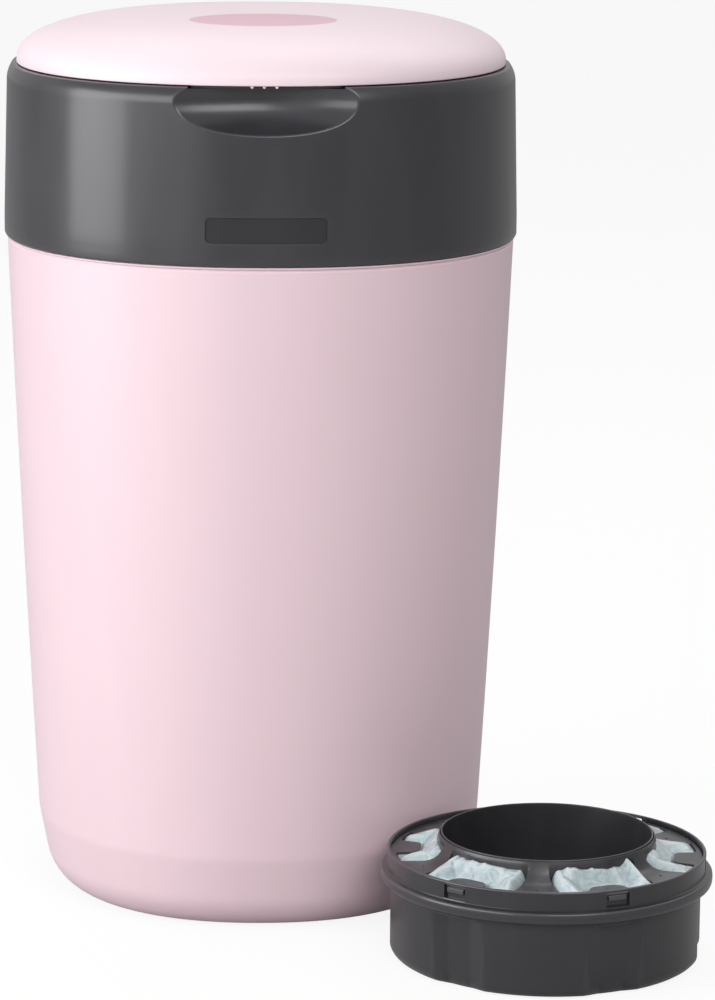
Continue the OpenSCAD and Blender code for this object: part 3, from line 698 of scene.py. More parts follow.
@dataclass(frozen=True)
class GatheredFilm(Finish):
    """Thin polyethylene film, gathered in folds: milky, with a soft shine and a painted highlight on its
    creases.

    The main colour is the pale mint of the folds that stand up, with a painted highlight on them, and the
    second one is a deeper teal, painted shade between the folds.

    Attributes:
        crease: Distance between creases in millimetres.
        relief: Height of the creases in millimetres.
    """

    crease: float = 7.0
    relief: float = 0.35

    def skin(self, nodes: Nodes, place: Socket) -> Socket:
        """Adds the film: broad folds with fine creases over them.

        Args:
            nodes: The tree.
            place: Place on the object.

        Returns:
            Surface of the film.
        """
        folds = nodes.add("TexNoise", {
            "Scale": 1 / (self.crease * MM), "Detail": 5.0, "Roughness": 0.6, "Distortion": 1.8,
            "Vector": place})
        fine = nodes.add("TexVoronoi", {
            "Scale": 1 / (self.crease * 0.7 * MM), "feature": "DISTANCE_TO_EDGE",
            "Vector": place}, "Distance")
        lines = nodes.add("MapRange", {"From Max": 0.12, "To Min": 1.0, "To Max": 0.0, "Value": fine})
        height = nodes.add("Math", {"operation": "MULTIPLY_ADD", 0: lines, 1: 0.35, 2: folds})
        # Painted highlight on the raised creases, and painted shade where the folds lie low.
        bend = nodes.add("NewGeometry", {}, "Pointiness")
        crest_highlight = nodes.add("MapRange", {"From Min": 0.44, "From Max": 0.54, "Value": bend})
        painted_fold_light = nodes.add("Math", {"operation": "MULTIPLY_ADD", 0: crest_highlight, 1: 0.55, 2: folds})
        share = nodes.add("MapRange", {"From Min": 0.35, "From Max": 0.95, "Value": painted_fold_light})
        colour = nodes.add("Mix", {
            "data_type": "RGBA", "Factor": share, 6: linear(self.second), 7: linear(self.colour)}, 2)
        relief = nodes.add("Bump", {"Strength": 0.5, "Distance": self.relief * MM, "Height": height})
        return nodes.add("BsdfPrincipled", {
            "IOR": 1.51, "Roughness": 0.28, "Subsurface Weight": 0.3, "Subsurface Scale": 2 * MM,
            "Coat Weight": 0.5, "Coat Roughness": 0.15, "Base Color": colour, "Normal": relief})


@dataclass(frozen=True)
class DrawnSteel(Finish):
    """Zinc-plated steel wire and pins: a grey metal with fine drawing lines and duller patches.

    The patches have the second colour.

    Attributes:
        roughness: Roughness between the lines.
        line_gap: Distance between the lines in millimetres.
        line_depth: Depth of the lines in millimetres.
        patch: Size of the patches in millimetres.
    """

    roughness: float = 0.32
    line_gap: float = 0.3
    line_depth: float = 0.01
    patch: float = 3.0

    def skin(self, nodes: Nodes, place: Socket) -> Socket:
        """Adds the steel: drawing lines and dull patches.

        Args:
            nodes: The tree.
            place: Place on the object.

        Returns:
            Surface of the steel.
        """
        drawn = nodes.add("Mapping", {"Scale": (0.08, 1.0, 1.0), "Vector": place})
        lines = nodes.add("TexNoise", {"Scale": 1 / (self.line_gap * MM), "Detail": 4.0, "Vector": drawn})
        dull = nodes.add("TexNoise", {"Scale": 1 / (self.patch * MM), "Detail": 3.0, "Vector": place})
        share = nodes.add("MapRange", {"From Min": 0.5, "From Max": 0.75, "To Max": 0.6, "Value": dull})
        colour = nodes.add("Mix", {
            "data_type": "RGBA", "Factor": share, 6: linear(self.colour), 7: linear(self.second)}, 2)
        rough = nodes.add("MapRange", {
            "To Min": self.roughness * 0.7, "To Max": self.roughness * 1.3, "Value": lines})
        relief = nodes.add("Bump", {"Strength": 0.3, "Distance": self.line_depth * MM, "Height": lines})
        return nodes.add("BsdfPrincipled", {
            "Metallic": 1.0, "Base Color": colour, "Roughness": rough, "Normal": relief})


class Finishes:
    """The finishes of the bin, each built once when it is first asked for."""

    all = {
        # Satin shell: broad soft highlights that fade evenly from the bright side to the shaded one.
        "pink_plastic": MouldedPlastic(
            "satin polypropylene, pink", "#e6ccd4", "#efdce1", 0.4, flow=0.08, edge=0.12, gloss=0.1),
        # The lid is paler and nearly even, so that only the plain oval stands out on it.
        "lid_plastic": MouldedPlastic(
            "smooth polypropylene, pale pink", "#ead7dd", "#f0e2e7", 0.46, grain=0.6, relief=0.006, flow=0.06,
            edge=0.1, oval=(38.0, 26.0, -48.0), oval_colour="#d8b0bd"),
        # A fine grain spreads the lamp's mirror image into one wide, soft, upright strip on the band.
        "charcoal_plastic": MouldedPlastic(
            "satin polypropylene, charcoal", "#323135", "#5c5b61", 0.33, flow=0.1, edge=0.15, gloss=0.25),
        # The floor of the recess has no grain, so it looks darker than the band round it.
        "polished_charcoal": MouldedPlastic(
            "polished polypropylene, charcoal", "#2f2e31", "#4a494d", 0.22, relief=0.004, flow=0.05,
            edge=0.3),
        # Working parts are dull and slippery, in two greys that tell the turning ring from the rest.
        "grey_plastic": MouldedPlastic(
            "acetal, dark grey", "#4a4a4e", "#77777c", 0.42, flow=0.12, edge=0.3),
        "ring_plastic": MouldedPlastic(
            "acetal, mid grey", "#6c6c72", "#909096", 0.4, flow=0.12, edge=0.3),
        # Cheap reground plastic: glossy and nearly black, so the pressed panels show by what they mirror; its
        # panel and window edges get a strong painted highlight.
        "cassette_plastic": MouldedPlastic(
            "recycled polypropylene, black", "#29292c", "#58585d", 0.32, grain=0.8, relief=0.008, flow=0.06,
            edge=0.6, gloss=0.25),
        # The cover has the same gloss with long light streaks of unmixed grey.
        "cover_plastic": MouldedPlastic(
            "glossy recycled polypropylene, grey", "#29292c", "#6f6f74", 0.36, grain=0.9, relief=0.01,
            flow=0.4, edge=0.3, gloss=0.3),
        # Rubber is dull, with no sharp highlight.
        "rubber": MouldedPlastic(
            "thermoplastic rubber, black", "#262628", "#3f3f42", 0.62, grain=0.5, relief=0.03, flow=0.15),
        # Pale mint with a painted highlight on the crests, and a deeper teal between them as painted shade.
        "mint_film": GatheredFilm("gathered polyethylene film, mint", "#c0cccf", "#557b82"),
        # Plain bright steel with drawing lines along it, duller in patches.
        "steel_pin": DrawnSteel("zinc-plated steel", "#b4b6ba", "#83858a"),
    }
    built: dict[str, bpy.types.Material] = {}

    @classmethod
    def dress(cls, piece: Piece, slot: str, body: str) -> Piece:
        """Gives a piece its finish and the body it rides on.

        Args:
            piece: The piece.
            slot: Name of the finish, which is the record's slot too.
            body: Body that carries the piece.

        Returns:
            The piece.
        """
        if slot not in cls.built:
            cls.built[slot] = cls.all[slot].material()
        piece.data.materials.clear()
        piece.data.materials.append(cls.built[slot])
        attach(piece, body)
        log.info("%s: %s, %d faces", piece.name, cls.all[slot].name, len(piece.data.polygons))
        return piece

    @classmethod
    def dress_parts(cls, frame: dict, body: str, parts: dict[str, tuple[str, float]]) -> None:
        """Finishes and dresses solid parts of one body.

        Args:
            frame: The loaded frame.
            body: Body that carries them.
            parts: Slot and edge rounding of each part, by its name.
        """
        for node, (slot, rounding) in parts.items():
            cls.dress(finished_copy(frame, node, rounding), slot, body)


# ------------------------------------------------------------------ tub


@dataclass
class Tub:
    """Tapering tub with a tucked-in foot, a bead under the seam, a neck and two ears for the rear hinge."""

    frame: dict
    half_width: float = 132.5
    seam: float = 347.5
    crease: float = 39.0
    taper: float = 14.7
    bulge: float = 0.6
    tuck: float = 7.5
    foot_width: float = 14.0
    foot_height: float = 18.0
    wall: float = 2.4
    floor: float = 3.0
    bead: float = 1.0
    bead_out: float = 0.5
    groove: float = 0.6
    neck_outer: float = 130.8
    neck_inner: float = 128.6
    neck_top: float = 357.0
    ears: tuple[float, float] = (24.0, 34.0)
    catch_lip: tuple[float, float, float] = (14.0, 349.6, 352.0)

    def half(self, z: float) -> float:
        """Gives the half width of the outside at a height.

        Args:
            z: The height in millimetres.

        Returns:
            The half width in millimetres.
        """
        if z >= self.crease:
            s = (z - self.crease) / (self.seam - self.crease)
            return self.half_width - self.taper * (1 - s) + 4 * self.bulge * s * (1 - s)
        s = z / self.crease
        f = max(0.0, 1 - z / self.foot_height)
        foot = self.foot_width * (1 - math.sqrt(1 - f * f))
        return self.half_width - self.taper - self.tuck * (1 - s) - foot

    def outside(self) -> list[Spot]:
        """Gives the profile of the outside, from the floor to the top of the neck.

        Returns:
            Points as (half width, height), in millimetres.
        """
        foot = [self.foot_height * (k / 14) ** 2 for k in range(15)]
        side = [self.crease - 6, self.crease - 2, self.crease, self.crease + 2, self.crease + 6]
        side += [self.crease + k / 8 * (self.seam - 10 - self.crease) for k in range(1, 9)]
        ledge = self.half_width + self.bead_out
        under = self.seam - self.bead - 3 * self.groove
        return [
            *[(self.half(z), z) for z in foot + side],
            (self.half(under), under), (self.half_width - self.groove, under + self.groove),
            (self.half_width - self.groove, self.seam - self.bead - self.groove),
            (ledge - 0.15, self.seam - self.bead), *arc((ledge - 0.4, self.seam - 0.5), 0.45, -10, 90),
            (self.neck_outer + 0.3, self.seam), (self.neck_outer, self.seam + 0.4),
            (self.neck_outer, self.neck_top - 0.8), (self.neck_outer - 0.6, self.neck_top),
        ]

    def inside(self) -> list[Spot]:
        """Gives the profile of the inside, from the top of the neck down to the middle of the floor.

        Returns:
            Points as (half width, height), in millimetres.
        """
        heights = [self.crease + s * (self.seam - self.crease) for s in (0.9, 0.7, 0.5, 0.3, 0.1, 0.0)]
        foot = [self.floor + self.foot_height * (k / 8) ** 2 for k in range(8, -1, -1)]
        return [
            (self.neck_inner + 0.4, self.neck_top), (self.neck_inner, self.neck_top - 0.5),
            (self.neck_inner, self.seam - 5),
            *[(self.half(z) - self.wall, z) for z in heights],
            *[(self.half(max(0.0, z - 1.4)) - self.wall, z) for z in foot],
        ]

    def ear(self, side: int) -> Piece:
        """Builds one ear of the rear hinge with its barrel.

        Args:
            side: -1 for the left ear, 1 for the right one.

        Returns:
            The ear.
        """
        root = self.half_width * BODY.depth_ratio - 3.8
        return TUB_HINGE.leaf([
            (root - 1.2, self.seam - 31.5), (root + 3.4, self.seam - 31.5), TUB_HINGE.by(0.96, -0.3),
            TUB_HINGE.by(0, 0), TUB_HINGE.by(-0.8, -0.6), (root, self.seam - 4)],
            [side * x for x in self.ears], 0.8)

    def build(self) -> None:
        """Builds the tub and dresses it."""
        tub = loft("tub_shell", BODY, self.outside() + self.inside(), closed=False)
        for side in (-1, 1):
            combine(tub, self.ear(side), How.JOIN)
        TUB_HINGE.drill(tub)
        neck = self.neck_inner * BODY.depth_ratio
        half, low, high = self.catch_lip
        catch = block("catch_lip", (-half, -neck - 0.8, low), (half, -neck + 2, high))
        round_edges(catch, 0.4)
        combine(tub, catch, How.JOIN)
        shade(tub)
        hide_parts("tub")
        Finishes.dress(tub, "pink_plastic", "tub")
        Finishes.dress_parts(self.frame, "tub", {"main_hinge_pin": ("steel_pin", 0.3)})


# ------------------------------------------------------------------ top unit


@dataclass
class TopUnit:
    """Dark band that tips back off the tub, with its shoulder, finger scoop, bare recess and hinges."""

    frame: dict
    band: float = 134.0
    bottom: float = 348.0
    edge_height: float = 10.0
    taper: float = 1.7
    rim: float = 436.0
    rim_opening: float = 113.5
    rim_thickness: float = 3.0
    shoulder_radius: float = 14.0
    shoulder_height: float = 8.5
    wall: float = 2.4
    skirt: float = 131.6
    ledge: tuple[float, float, float] = (122.3, 397.0, 400.0)
    scoop_length: float = 69.5
    scoop_radius: float = 18.0
    scoop_out: float = 7.2
    scoop_drop: float = 6.0
    scoop_deeper: float = 4.5
    scoop_reach: float = 47.0
    lip_round: float = 1.1
    bowl_rings: tuple[int, int] = (22, 5)
    badge: tuple[float, float] = (60.5, 12.8)
    badge_corner: float = 2.8
    badge_depth: float = 0.6
    badge_rise: float = 18.0
    pocket: tuple[float, float, float, float] = (38.7, 122.4, 435.0, 438.0)
    knuckle_half: float = 23.0
    ears: tuple[float, float] = (29.0, 37.0)

    @property
    def shoulder(self) -> float:
        """Half width under the shoulder."""
        return self.band - self.taper

    @property
    def shoulder_start(self) -> float:
        """Height at which the shoulder starts."""
        return self.rim - self.shoulder_height

    @property
    def badge_middle(self) -> float:
        """Height of the middle of the shallow recess."""
        return self.bottom + self.badge_rise

    @property
    def scoop_centre(self) -> Vector:
        """Place that the finger scoop is rounded about, in front of the band."""
        return Vector((0, -self.shoulder * BODY.depth_ratio - self.scoop_out, self.rim - self.scoop_drop))

    def half(self, z: float) -> float:
        """Gives the half width of the outside of the band at a height.

        Args:
            z: The height in millimetres.

        Returns:
            The half width in millimetres.
        """
        straight = self.bottom + self.edge_height
        if z <= straight:
            return self.band
        if z > self.shoulder_start:
            drop = 1 - math.sqrt(1 - ((z - self.shoulder_start) / self.shoulder_radius) ** 2)
            return self.shoulder - self.shoulder_radius * drop
        return self.band - self.taper * (z - straight) / (self.shoulder_start - straight)

    def profile(self) -> list[Spot]:
        """Gives the closed profile of the band, up the outside and down the inside.

        Returns:
            Points as (half width, height), in millimetres.
        """
        top = math.degrees(math.asin(self.shoulder_height / self.shoulder_radius))
        straight = self.bottom + self.edge_height
        heights = [straight + k / 18 * (self.shoulder_start - straight) for k in range(1, 18)]
        ledge_half, ledge_low, ledge_high = self.ledge
        round_top = arc(
            (self.shoulder - self.shoulder_radius, self.shoulder_start), self.shoulder_radius, 0, top - 2, 10)
        rim_outer = round_top[-1][0]
        inner = self.half(self.shoulder_start) - self.wall
        return [
            (self.band - 0.7, self.bottom), (self.band - 0.25, self.bottom + 0.2),
            *[(self.band, self.bottom + rise) for rise in (0.7, 4, 7)], (self.band, straight),
            *[(self.half(z), z) for z in heights],
            *round_top,
            (rim_outer - 1.2, self.rim), (self.rim_opening + 3, self.rim),
            *arc((self.rim_opening + 0.8, self.rim - 0.8), 0.8, 90, 180),
            (self.rim_opening, self.rim - self.rim_thickness),
            (rim_outer - self.wall - 1, self.rim - self.rim_thickness),
            (inner, self.shoulder_start - 2), (self.half(ledge_high) - self.wall, ledge_high),
            (ledge_half, ledge_high), (ledge_half, ledge_low),
            (self.half(ledge_low - 6) - self.wall, ledge_low - 6),
            (self.skirt, straight), (self.skirt, self.bottom + 0.4), (self.skirt + 0.4, self.bottom),
        ]

    def cup(self) -> Piece:
        """Builds the wall behind the finger scoop: a long rounded form that stays within the shoulder.

        Returns:
            The wall, which is joined to the band before the bowl is cut into it.
        """
        take()
        bpy.ops.mesh.primitive_uv_sphere_add(
            segments=96, ring_count=64, radius=MM, rotation=(0, math.pi / 2, 0),
            location=self.scoop_centre * MM)
        cup = named("cup")
        grow = self.wall + self.scoop_deeper
        cup.scale = (self.scoop_radius + grow, self.scoop_radius + grow, self.scoop_length + grow)
        settle(cup)
        limits = loft("limits", BODY, [
            (self.shoulder - 1, self.rim - self.scoop_drop - self.scoop_radius - 6),
            (self.shoulder - 1, self.shoulder_start - 3), (self.shoulder - 4.4, self.rim - 1)], closed=False)
        combine(cup, limits, How.SHARE)
        return cup

    def recess(self) -> Piece:
        """Builds what the shallow recess takes away: a rounded bar whose back follows the band.

        Returns:
            The tool.
        """
        width, height = self.badge
        outline = []
        for x, z, start in ((1, 1, 0), (-1, 1, 90), (-1, -1, 180), (1, -1, 270)):
            corner = (x * (width / 2 - self.badge_corner),
                      self.badge_middle + z * (height / 2 - self.badge_corner))
            outline += arc(corner, self.badge_corner, start, start + 90, 6)
        tool = slab("recess", outline, Along.Y, -self.band * BODY.depth_ratio - 4, -120)
        heights = (self.badge_middle + z for z in (-height, 0, height))
        core = loft("core", BODY, [(self.half(z) - self.badge_depth, z) for z in heights], closed=False)
        combine(tool, core, How.CUT)
        return tool

    def knuckle(self) -> Piece:
        """Builds the middle barrel of the rear hinge.

        Returns:
            The barrel, with its bore.
        """
        root, top = self.band * BODY.depth_ratio - 2, self.bottom + 12
        knuckle = TUB_HINGE.leaf([
            (root, self.bottom + 0.6), TUB_HINGE.by(-0.5, 0.2), TUB_HINGE.by(0.5, 0.8), (root + 2, top),
            (root, top)], (-self.knuckle_half, self.knuckle_half), 0.6)
        TUB_HINGE.drill(knuckle)
        return knuckle

    def lid_ear(self, side: int) -> Piece:
        """Builds one ear of the lid hinge.

        Args:
            side: -1 for the left ear, 1 for the right one.

        Returns:
            The ear, with its bore.
        """
        root = self.shoulder * BODY.depth_ratio - 4.7
        ear = LID_HINGE.leaf([
            (root, self.rim - 35), (root + 2.4, self.rim - 35), LID_HINGE.by(0.96, -0.3), LID_HINGE.by(0, 0),
            LID_HINGE.by(-0.9, -0.4), (root - 0.3, self.shoulder_start)], [side * x for x in self.ears], 0.6)
        LID_HINGE.drill(ear)
        return ear

    def notch(self) -> Piece:
        """Builds what the notch for the lid's finger lip takes away.

        Returns:
            The tool.
        """
        half, inner, low, high = self.pocket
        tool = loft("notch", BODY, [(self.band + 3, low), (self.band + 3, high), (inner, high), (inner, low)])
        combine(tool, block("front", (-half, -160, low - 5), (half, -60, high + 2)), How.SHARE)
        return tool

    def housing(self) -> None:
        """Builds the band with everything that is moulded on it."""
        shell = loft("housing_shell", BODY, self.profile())
        combine(shell, self.cup(), How.JOIN)
        for form in (self.bowl, self.notch, self.recess):
            combine(shell, form(), How.CUT)
        combine(shell, self.knuckle(), How.JOIN)
        for side in (-1, 1):
            combine(shell, self.lid_ear(side), How.JOIN)
        apply(shell, "WELD", merge_threshold=0.03 * MM)
        shade(shell)
        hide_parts("top_housing")
        Finishes.dress(shell, "charcoal_plastic", "top_unit")
        self.polish_recess(shell)

    def polish_recess(self, shell: Piece) -> None:
        """Gives the floor of the bare recess its smoother, darker skin.

        Args:
            shell: The band, with its first finish on.
        """
        width, height = self.badge
        shell.data.materials.append(Finishes.all["polished_charcoal"].material())
        for face in shell.data.polygons:
            place = face.center / MM
            inside = abs(place.x) < width / 2 and abs(place.z - self.badge_middle) < height / 2
            if inside and place.y < -120 and self.depth(place) > self.badge_depth * 0.6:
                face.material_index = 1

    def depth(self, point: Vector) -> float:
        """Gives how far a point in millimetres lies inside the outside of the band."""
        return self.half(min(point.z, self.rim + 4)) - BODY.reach(point)

    def on_band(self, x: float, z: float) -> Vector:
        """Gives the point on the front of the band at a place seen from the front."""
        return Vector((x, BODY.front(self.half(min(z, self.rim + 4)), x), z))

    def bowl(self) -> Piece:
        """Models what the finger scoop takes away: a long bowl whose lip rolls over onto the band.

        Returns:
            The tool.
        """
        inner, lip = self.bowl_rings
        tool = loft("bowl", Section(points=160), [(10 + k, k) for k in range(inner + lip + 2)], closed=False)

        def shape(point: Vector) -> Vector:
            """Turns a point of the plain cone into its place on the bowl, on its lip or in front of it.

            Args:
                point: A point of the cone, whose height is the number of its ring.

            Returns:
                Its place.
            """
            turn, ring = math.atan2(point.y, point.x), round(point.z)
            c, s = math.cos(turn), math.sin(turn)

            def bowl_at(share: float) -> Vector:
                """Gives a place on the bowl, on the line that this point is on.

                Args:
                    share: Share of the way from the middle of the bowl to its end.

                Returns:
                    The place.
                """
                x = share * self.scoop_length * c
                deeper = self.scoop_deeper * max(0.0, 1 - (x / self.scoop_reach) ** 2)
                return self.scoop_centre + Vector((
                    x, (self.scoop_radius + deeper) * math.sqrt(max(0.0, 1 - share * share)),
                    share * self.scoop_radius * s))

            low, high = 0.0, 1.0
            for _ in range(24):
                middle = (low + high) / 2
                low, high = (middle, high) if self.depth(bowl_at(middle)) > 0 else (low, middle)
            edge = bowl_at(low)
            away = Vector((c / self.scoop_length, 0, s / self.scoop_radius)).normalized() * self.lip_round
            last = low - 0.01 * self.lip_round / (edge - bowl_at(low - 0.01)).length
            if ring <= inner:
                return bowl_at(last * math.sin(math.pi / 2 * (0.02 + 0.98 * ring / inner)))
            start, end = bowl_at(last), self.on_band(edge.x + away.x, edge.z + away.z)
            if ring <= inner + lip:
                t = (ring - inner) / lip
                return start * (1 - t) ** 2 + edge * 2 * t * (1 - t) + end * t * t
            return end + away + Vector((0, -8, 0))

        reshape(tool, shape)
        return settle(tool)

    def build(self) -> None:
        """Builds the top unit and what it carries inside."""
        self.housing()
        Finishes.dress_parts(self.frame, "top_unit", {
            "deck": ("charcoal_plastic", 0.5), "deck_screws": ("steel_pin", 0.25),
            "film_gripper": ("rubber", 0.4), "cutter_guard": ("grey_plastic", 0.6),
            "cutter_blade": ("steel_pin", 0.05), "catch_pin": ("steel_pin", 0.2),
            "pawl_pin": ("steel_pin", 0.2), "lid_hinge_pin": ("steel_pin", 0.3)})
        Finishes.dress_parts(self.frame, "front_catch", {"front_catch": ("grey_plastic", 0.4)})
        Finishes.dress_parts(self.frame, "click_pawl", {"click_pawl": ("grey_plastic", 0.3)})
        self.spring()

    def spring(self) -> None:
        """Winds the torsion spring round the pawl's pin, with a leg on the pawl and one on its post."""
        low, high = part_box("pawl_pin")
        centre = (low + high) / 2
        wire, radius, rise, leg, leg_turn = 0.45 * MM, 2.5 * MM, 1.05 * MM, 10 * MM, math.radians(118)
        turns, steps = 2, 32
        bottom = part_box("pawl_spring")[0].z + wire
        coil = []
        for k in range(steps + 1):
            t = math.pi + 2 * math.pi * turns * k / steps
            coil.append(Vector((centre.x + radius * math.cos(t), centre.y + radius * math.sin(t),
                                bottom + k / steps * rise)))
        out = Vector((math.cos(leg_turn), math.sin(leg_turn), 0)) * leg
        points = [coil[0] + out, coil[0] + out * 0.5, *coil, coil[-1] + Vector((4.4, -1, 0)) * MM,
                  coil[-1] + Vector((4.9, -9.5, 0)) * MM]
        take()
        bpy.ops.curve.primitive_nurbs_path_add()
        curve = bpy.context.object
        curve.data.splines.clear()
        spline = curve.data.splines.new("POLY")
        spline.points.add(len(points) - 1)
        for point, place in zip(spline.points, points):
            point.co = (*place, 1)
        curve.data.bevel_depth, curve.data.bevel_resolution, curve.data.use_fill_caps = wire, 2, True
        curve.matrix_world = Matrix.Identity(4)
        take(curve)
        bpy.ops.object.convert(target="MESH")
        spring = settle(named("pawl_coil"))
        shade(spring)
        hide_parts("pawl_spring")
        Finishes.dress(spring, "steel_pin", "top_unit")


# ------------------------------------------------------------------ lid


@dataclass
class Lid:
    """Domed lid with its dark liner, finger lip and seal."""

    frame: dict
    half_width: float = 127.2
    bottom: float = 436.5
    edge_height: float = 1.5
    rise: float = 24.5
    power: float = 3.1
    edge_power: float = 2.2
    wall: float = 2.2
    liner_top: float = 441.0
    arm_half: float = 28.8
    lip_reach: float = 124.8
    lip_drop: float = 1.2
    pip_half_width: float = 126.4
    pip_places: tuple[float, float, float] = (-7.0, -1.0, 5.2)

    def dome(self, half: float, reach: float, base: float, rise: float) -> float:
        """Gives the height of the dome over a half width, of the half width that it reaches."""
        return base + rise * max(0.0, 1 - (half / reach) ** self.power) ** (1 / self.edge_power)

    def liner(self) -> Piece:
        """Finishes the liner, with its finger lip drawn back into the shade of the lid's edge.

        Returns:
            The liner.
        """
        liner = finished_copy(self.frame, "lid_liner", 0.3)

        def draw_back(point: Vector) -> Vector:
            """Lifts and draws in what hangs lower than the lid's edge at the front.

            Args:
                point: A point of the liner.

            Returns:
                Its place.
            """
            if point.z > self.bottom - 0.1 or point.y > -60:
                return point
            k = min(1.0, self.lip_reach / BODY.reach(point))
            return Vector((point.x * k, point.y * k, max(point.z, self.bottom - self.lip_drop)))

        reshape(liner, draw_back)
        shade(liner)
        return liner

    def pips(self) -> Piece:
        """Models the three small grip pips that hang from the lid's front edge.

        Returns:
            The three pips, as one piece.
        """
        pips = []
        for k, x in enumerate(self.pip_places):
            y = BODY.front(self.pip_half_width, x)
            take()
            bpy.ops.mesh.primitive_uv_sphere_add(
                segments=20, ring_count=12, radius=0.85 * MM, scale=(1, 0.8, 1.25),
                location=Vector((x, y + 0.5, self.bottom - 0.25)) * MM)
            pips.append(settle(named(f"pip_{k}")))
        take(*pips)
        bpy.ops.object.join()
        row = named("grip_pips")
        shade(row, 180)
        return row

    def build(self) -> None:
        """Builds the lid and dresses it."""
        base = self.bottom + self.edge_height
        steps = [math.sin(math.pi / 2 * k / 34) for k in range(1, 34)]
        outside = [(s * self.half_width, self.dome(s * self.half_width, self.half_width, base, self.rise))
                   for s in reversed(steps)]
        inner = self.half_width - self.wall
        reach = inner - 2.4
        inside = [(s * reach, self.dome(s * reach, inner, base, self.rise - self.wall)) for s in steps[::3]]
        shell = loft("lid_shell", BODY, [
            *inside, (reach, self.liner_top), (inner, self.liner_top), (inner, self.bottom + 0.3),
            (inner + 0.3, self.bottom), *arc((self.half_width - 0.5, self.bottom + 0.5), 0.5, -90, 0),
            (self.half_width, base), *outside], closed=False)
        combine(shell, block("arm_way", (-self.arm_half, 92, self.bottom - 1),
                             (self.arm_half, 160, self.liner_top + 0.2)), How.CUT)
        shade(shell)
        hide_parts("lid_cover")
        Finishes.dress(shell, "lid_plastic", "lid")
        Finishes.dress(self.liner(), "charcoal_plastic", "lid")
        Finishes.dress(self.pips(), "lid_plastic", "lid")
        Finishes.dress_parts(self.frame, "lid", {"lid_seal": ("rubber", 0.4)})


# ------------------------------------------------------------------ twist unit and cassettes


@dataclass
class TwistUnit:
    """Turning cradle with its ratchet ring and the ring with two finger grips."""

    frame: dict

    def build(self) -> None:
        """Finishes the three rings."""
        Finishes.dress_parts(self.frame, "twist_unit", {
            "cradle": ("grey_plastic", 0.5), "ratchet_ring": ("grey_plastic", 0.2),
            "twist_ring": ("ring_plastic", 0.6)})


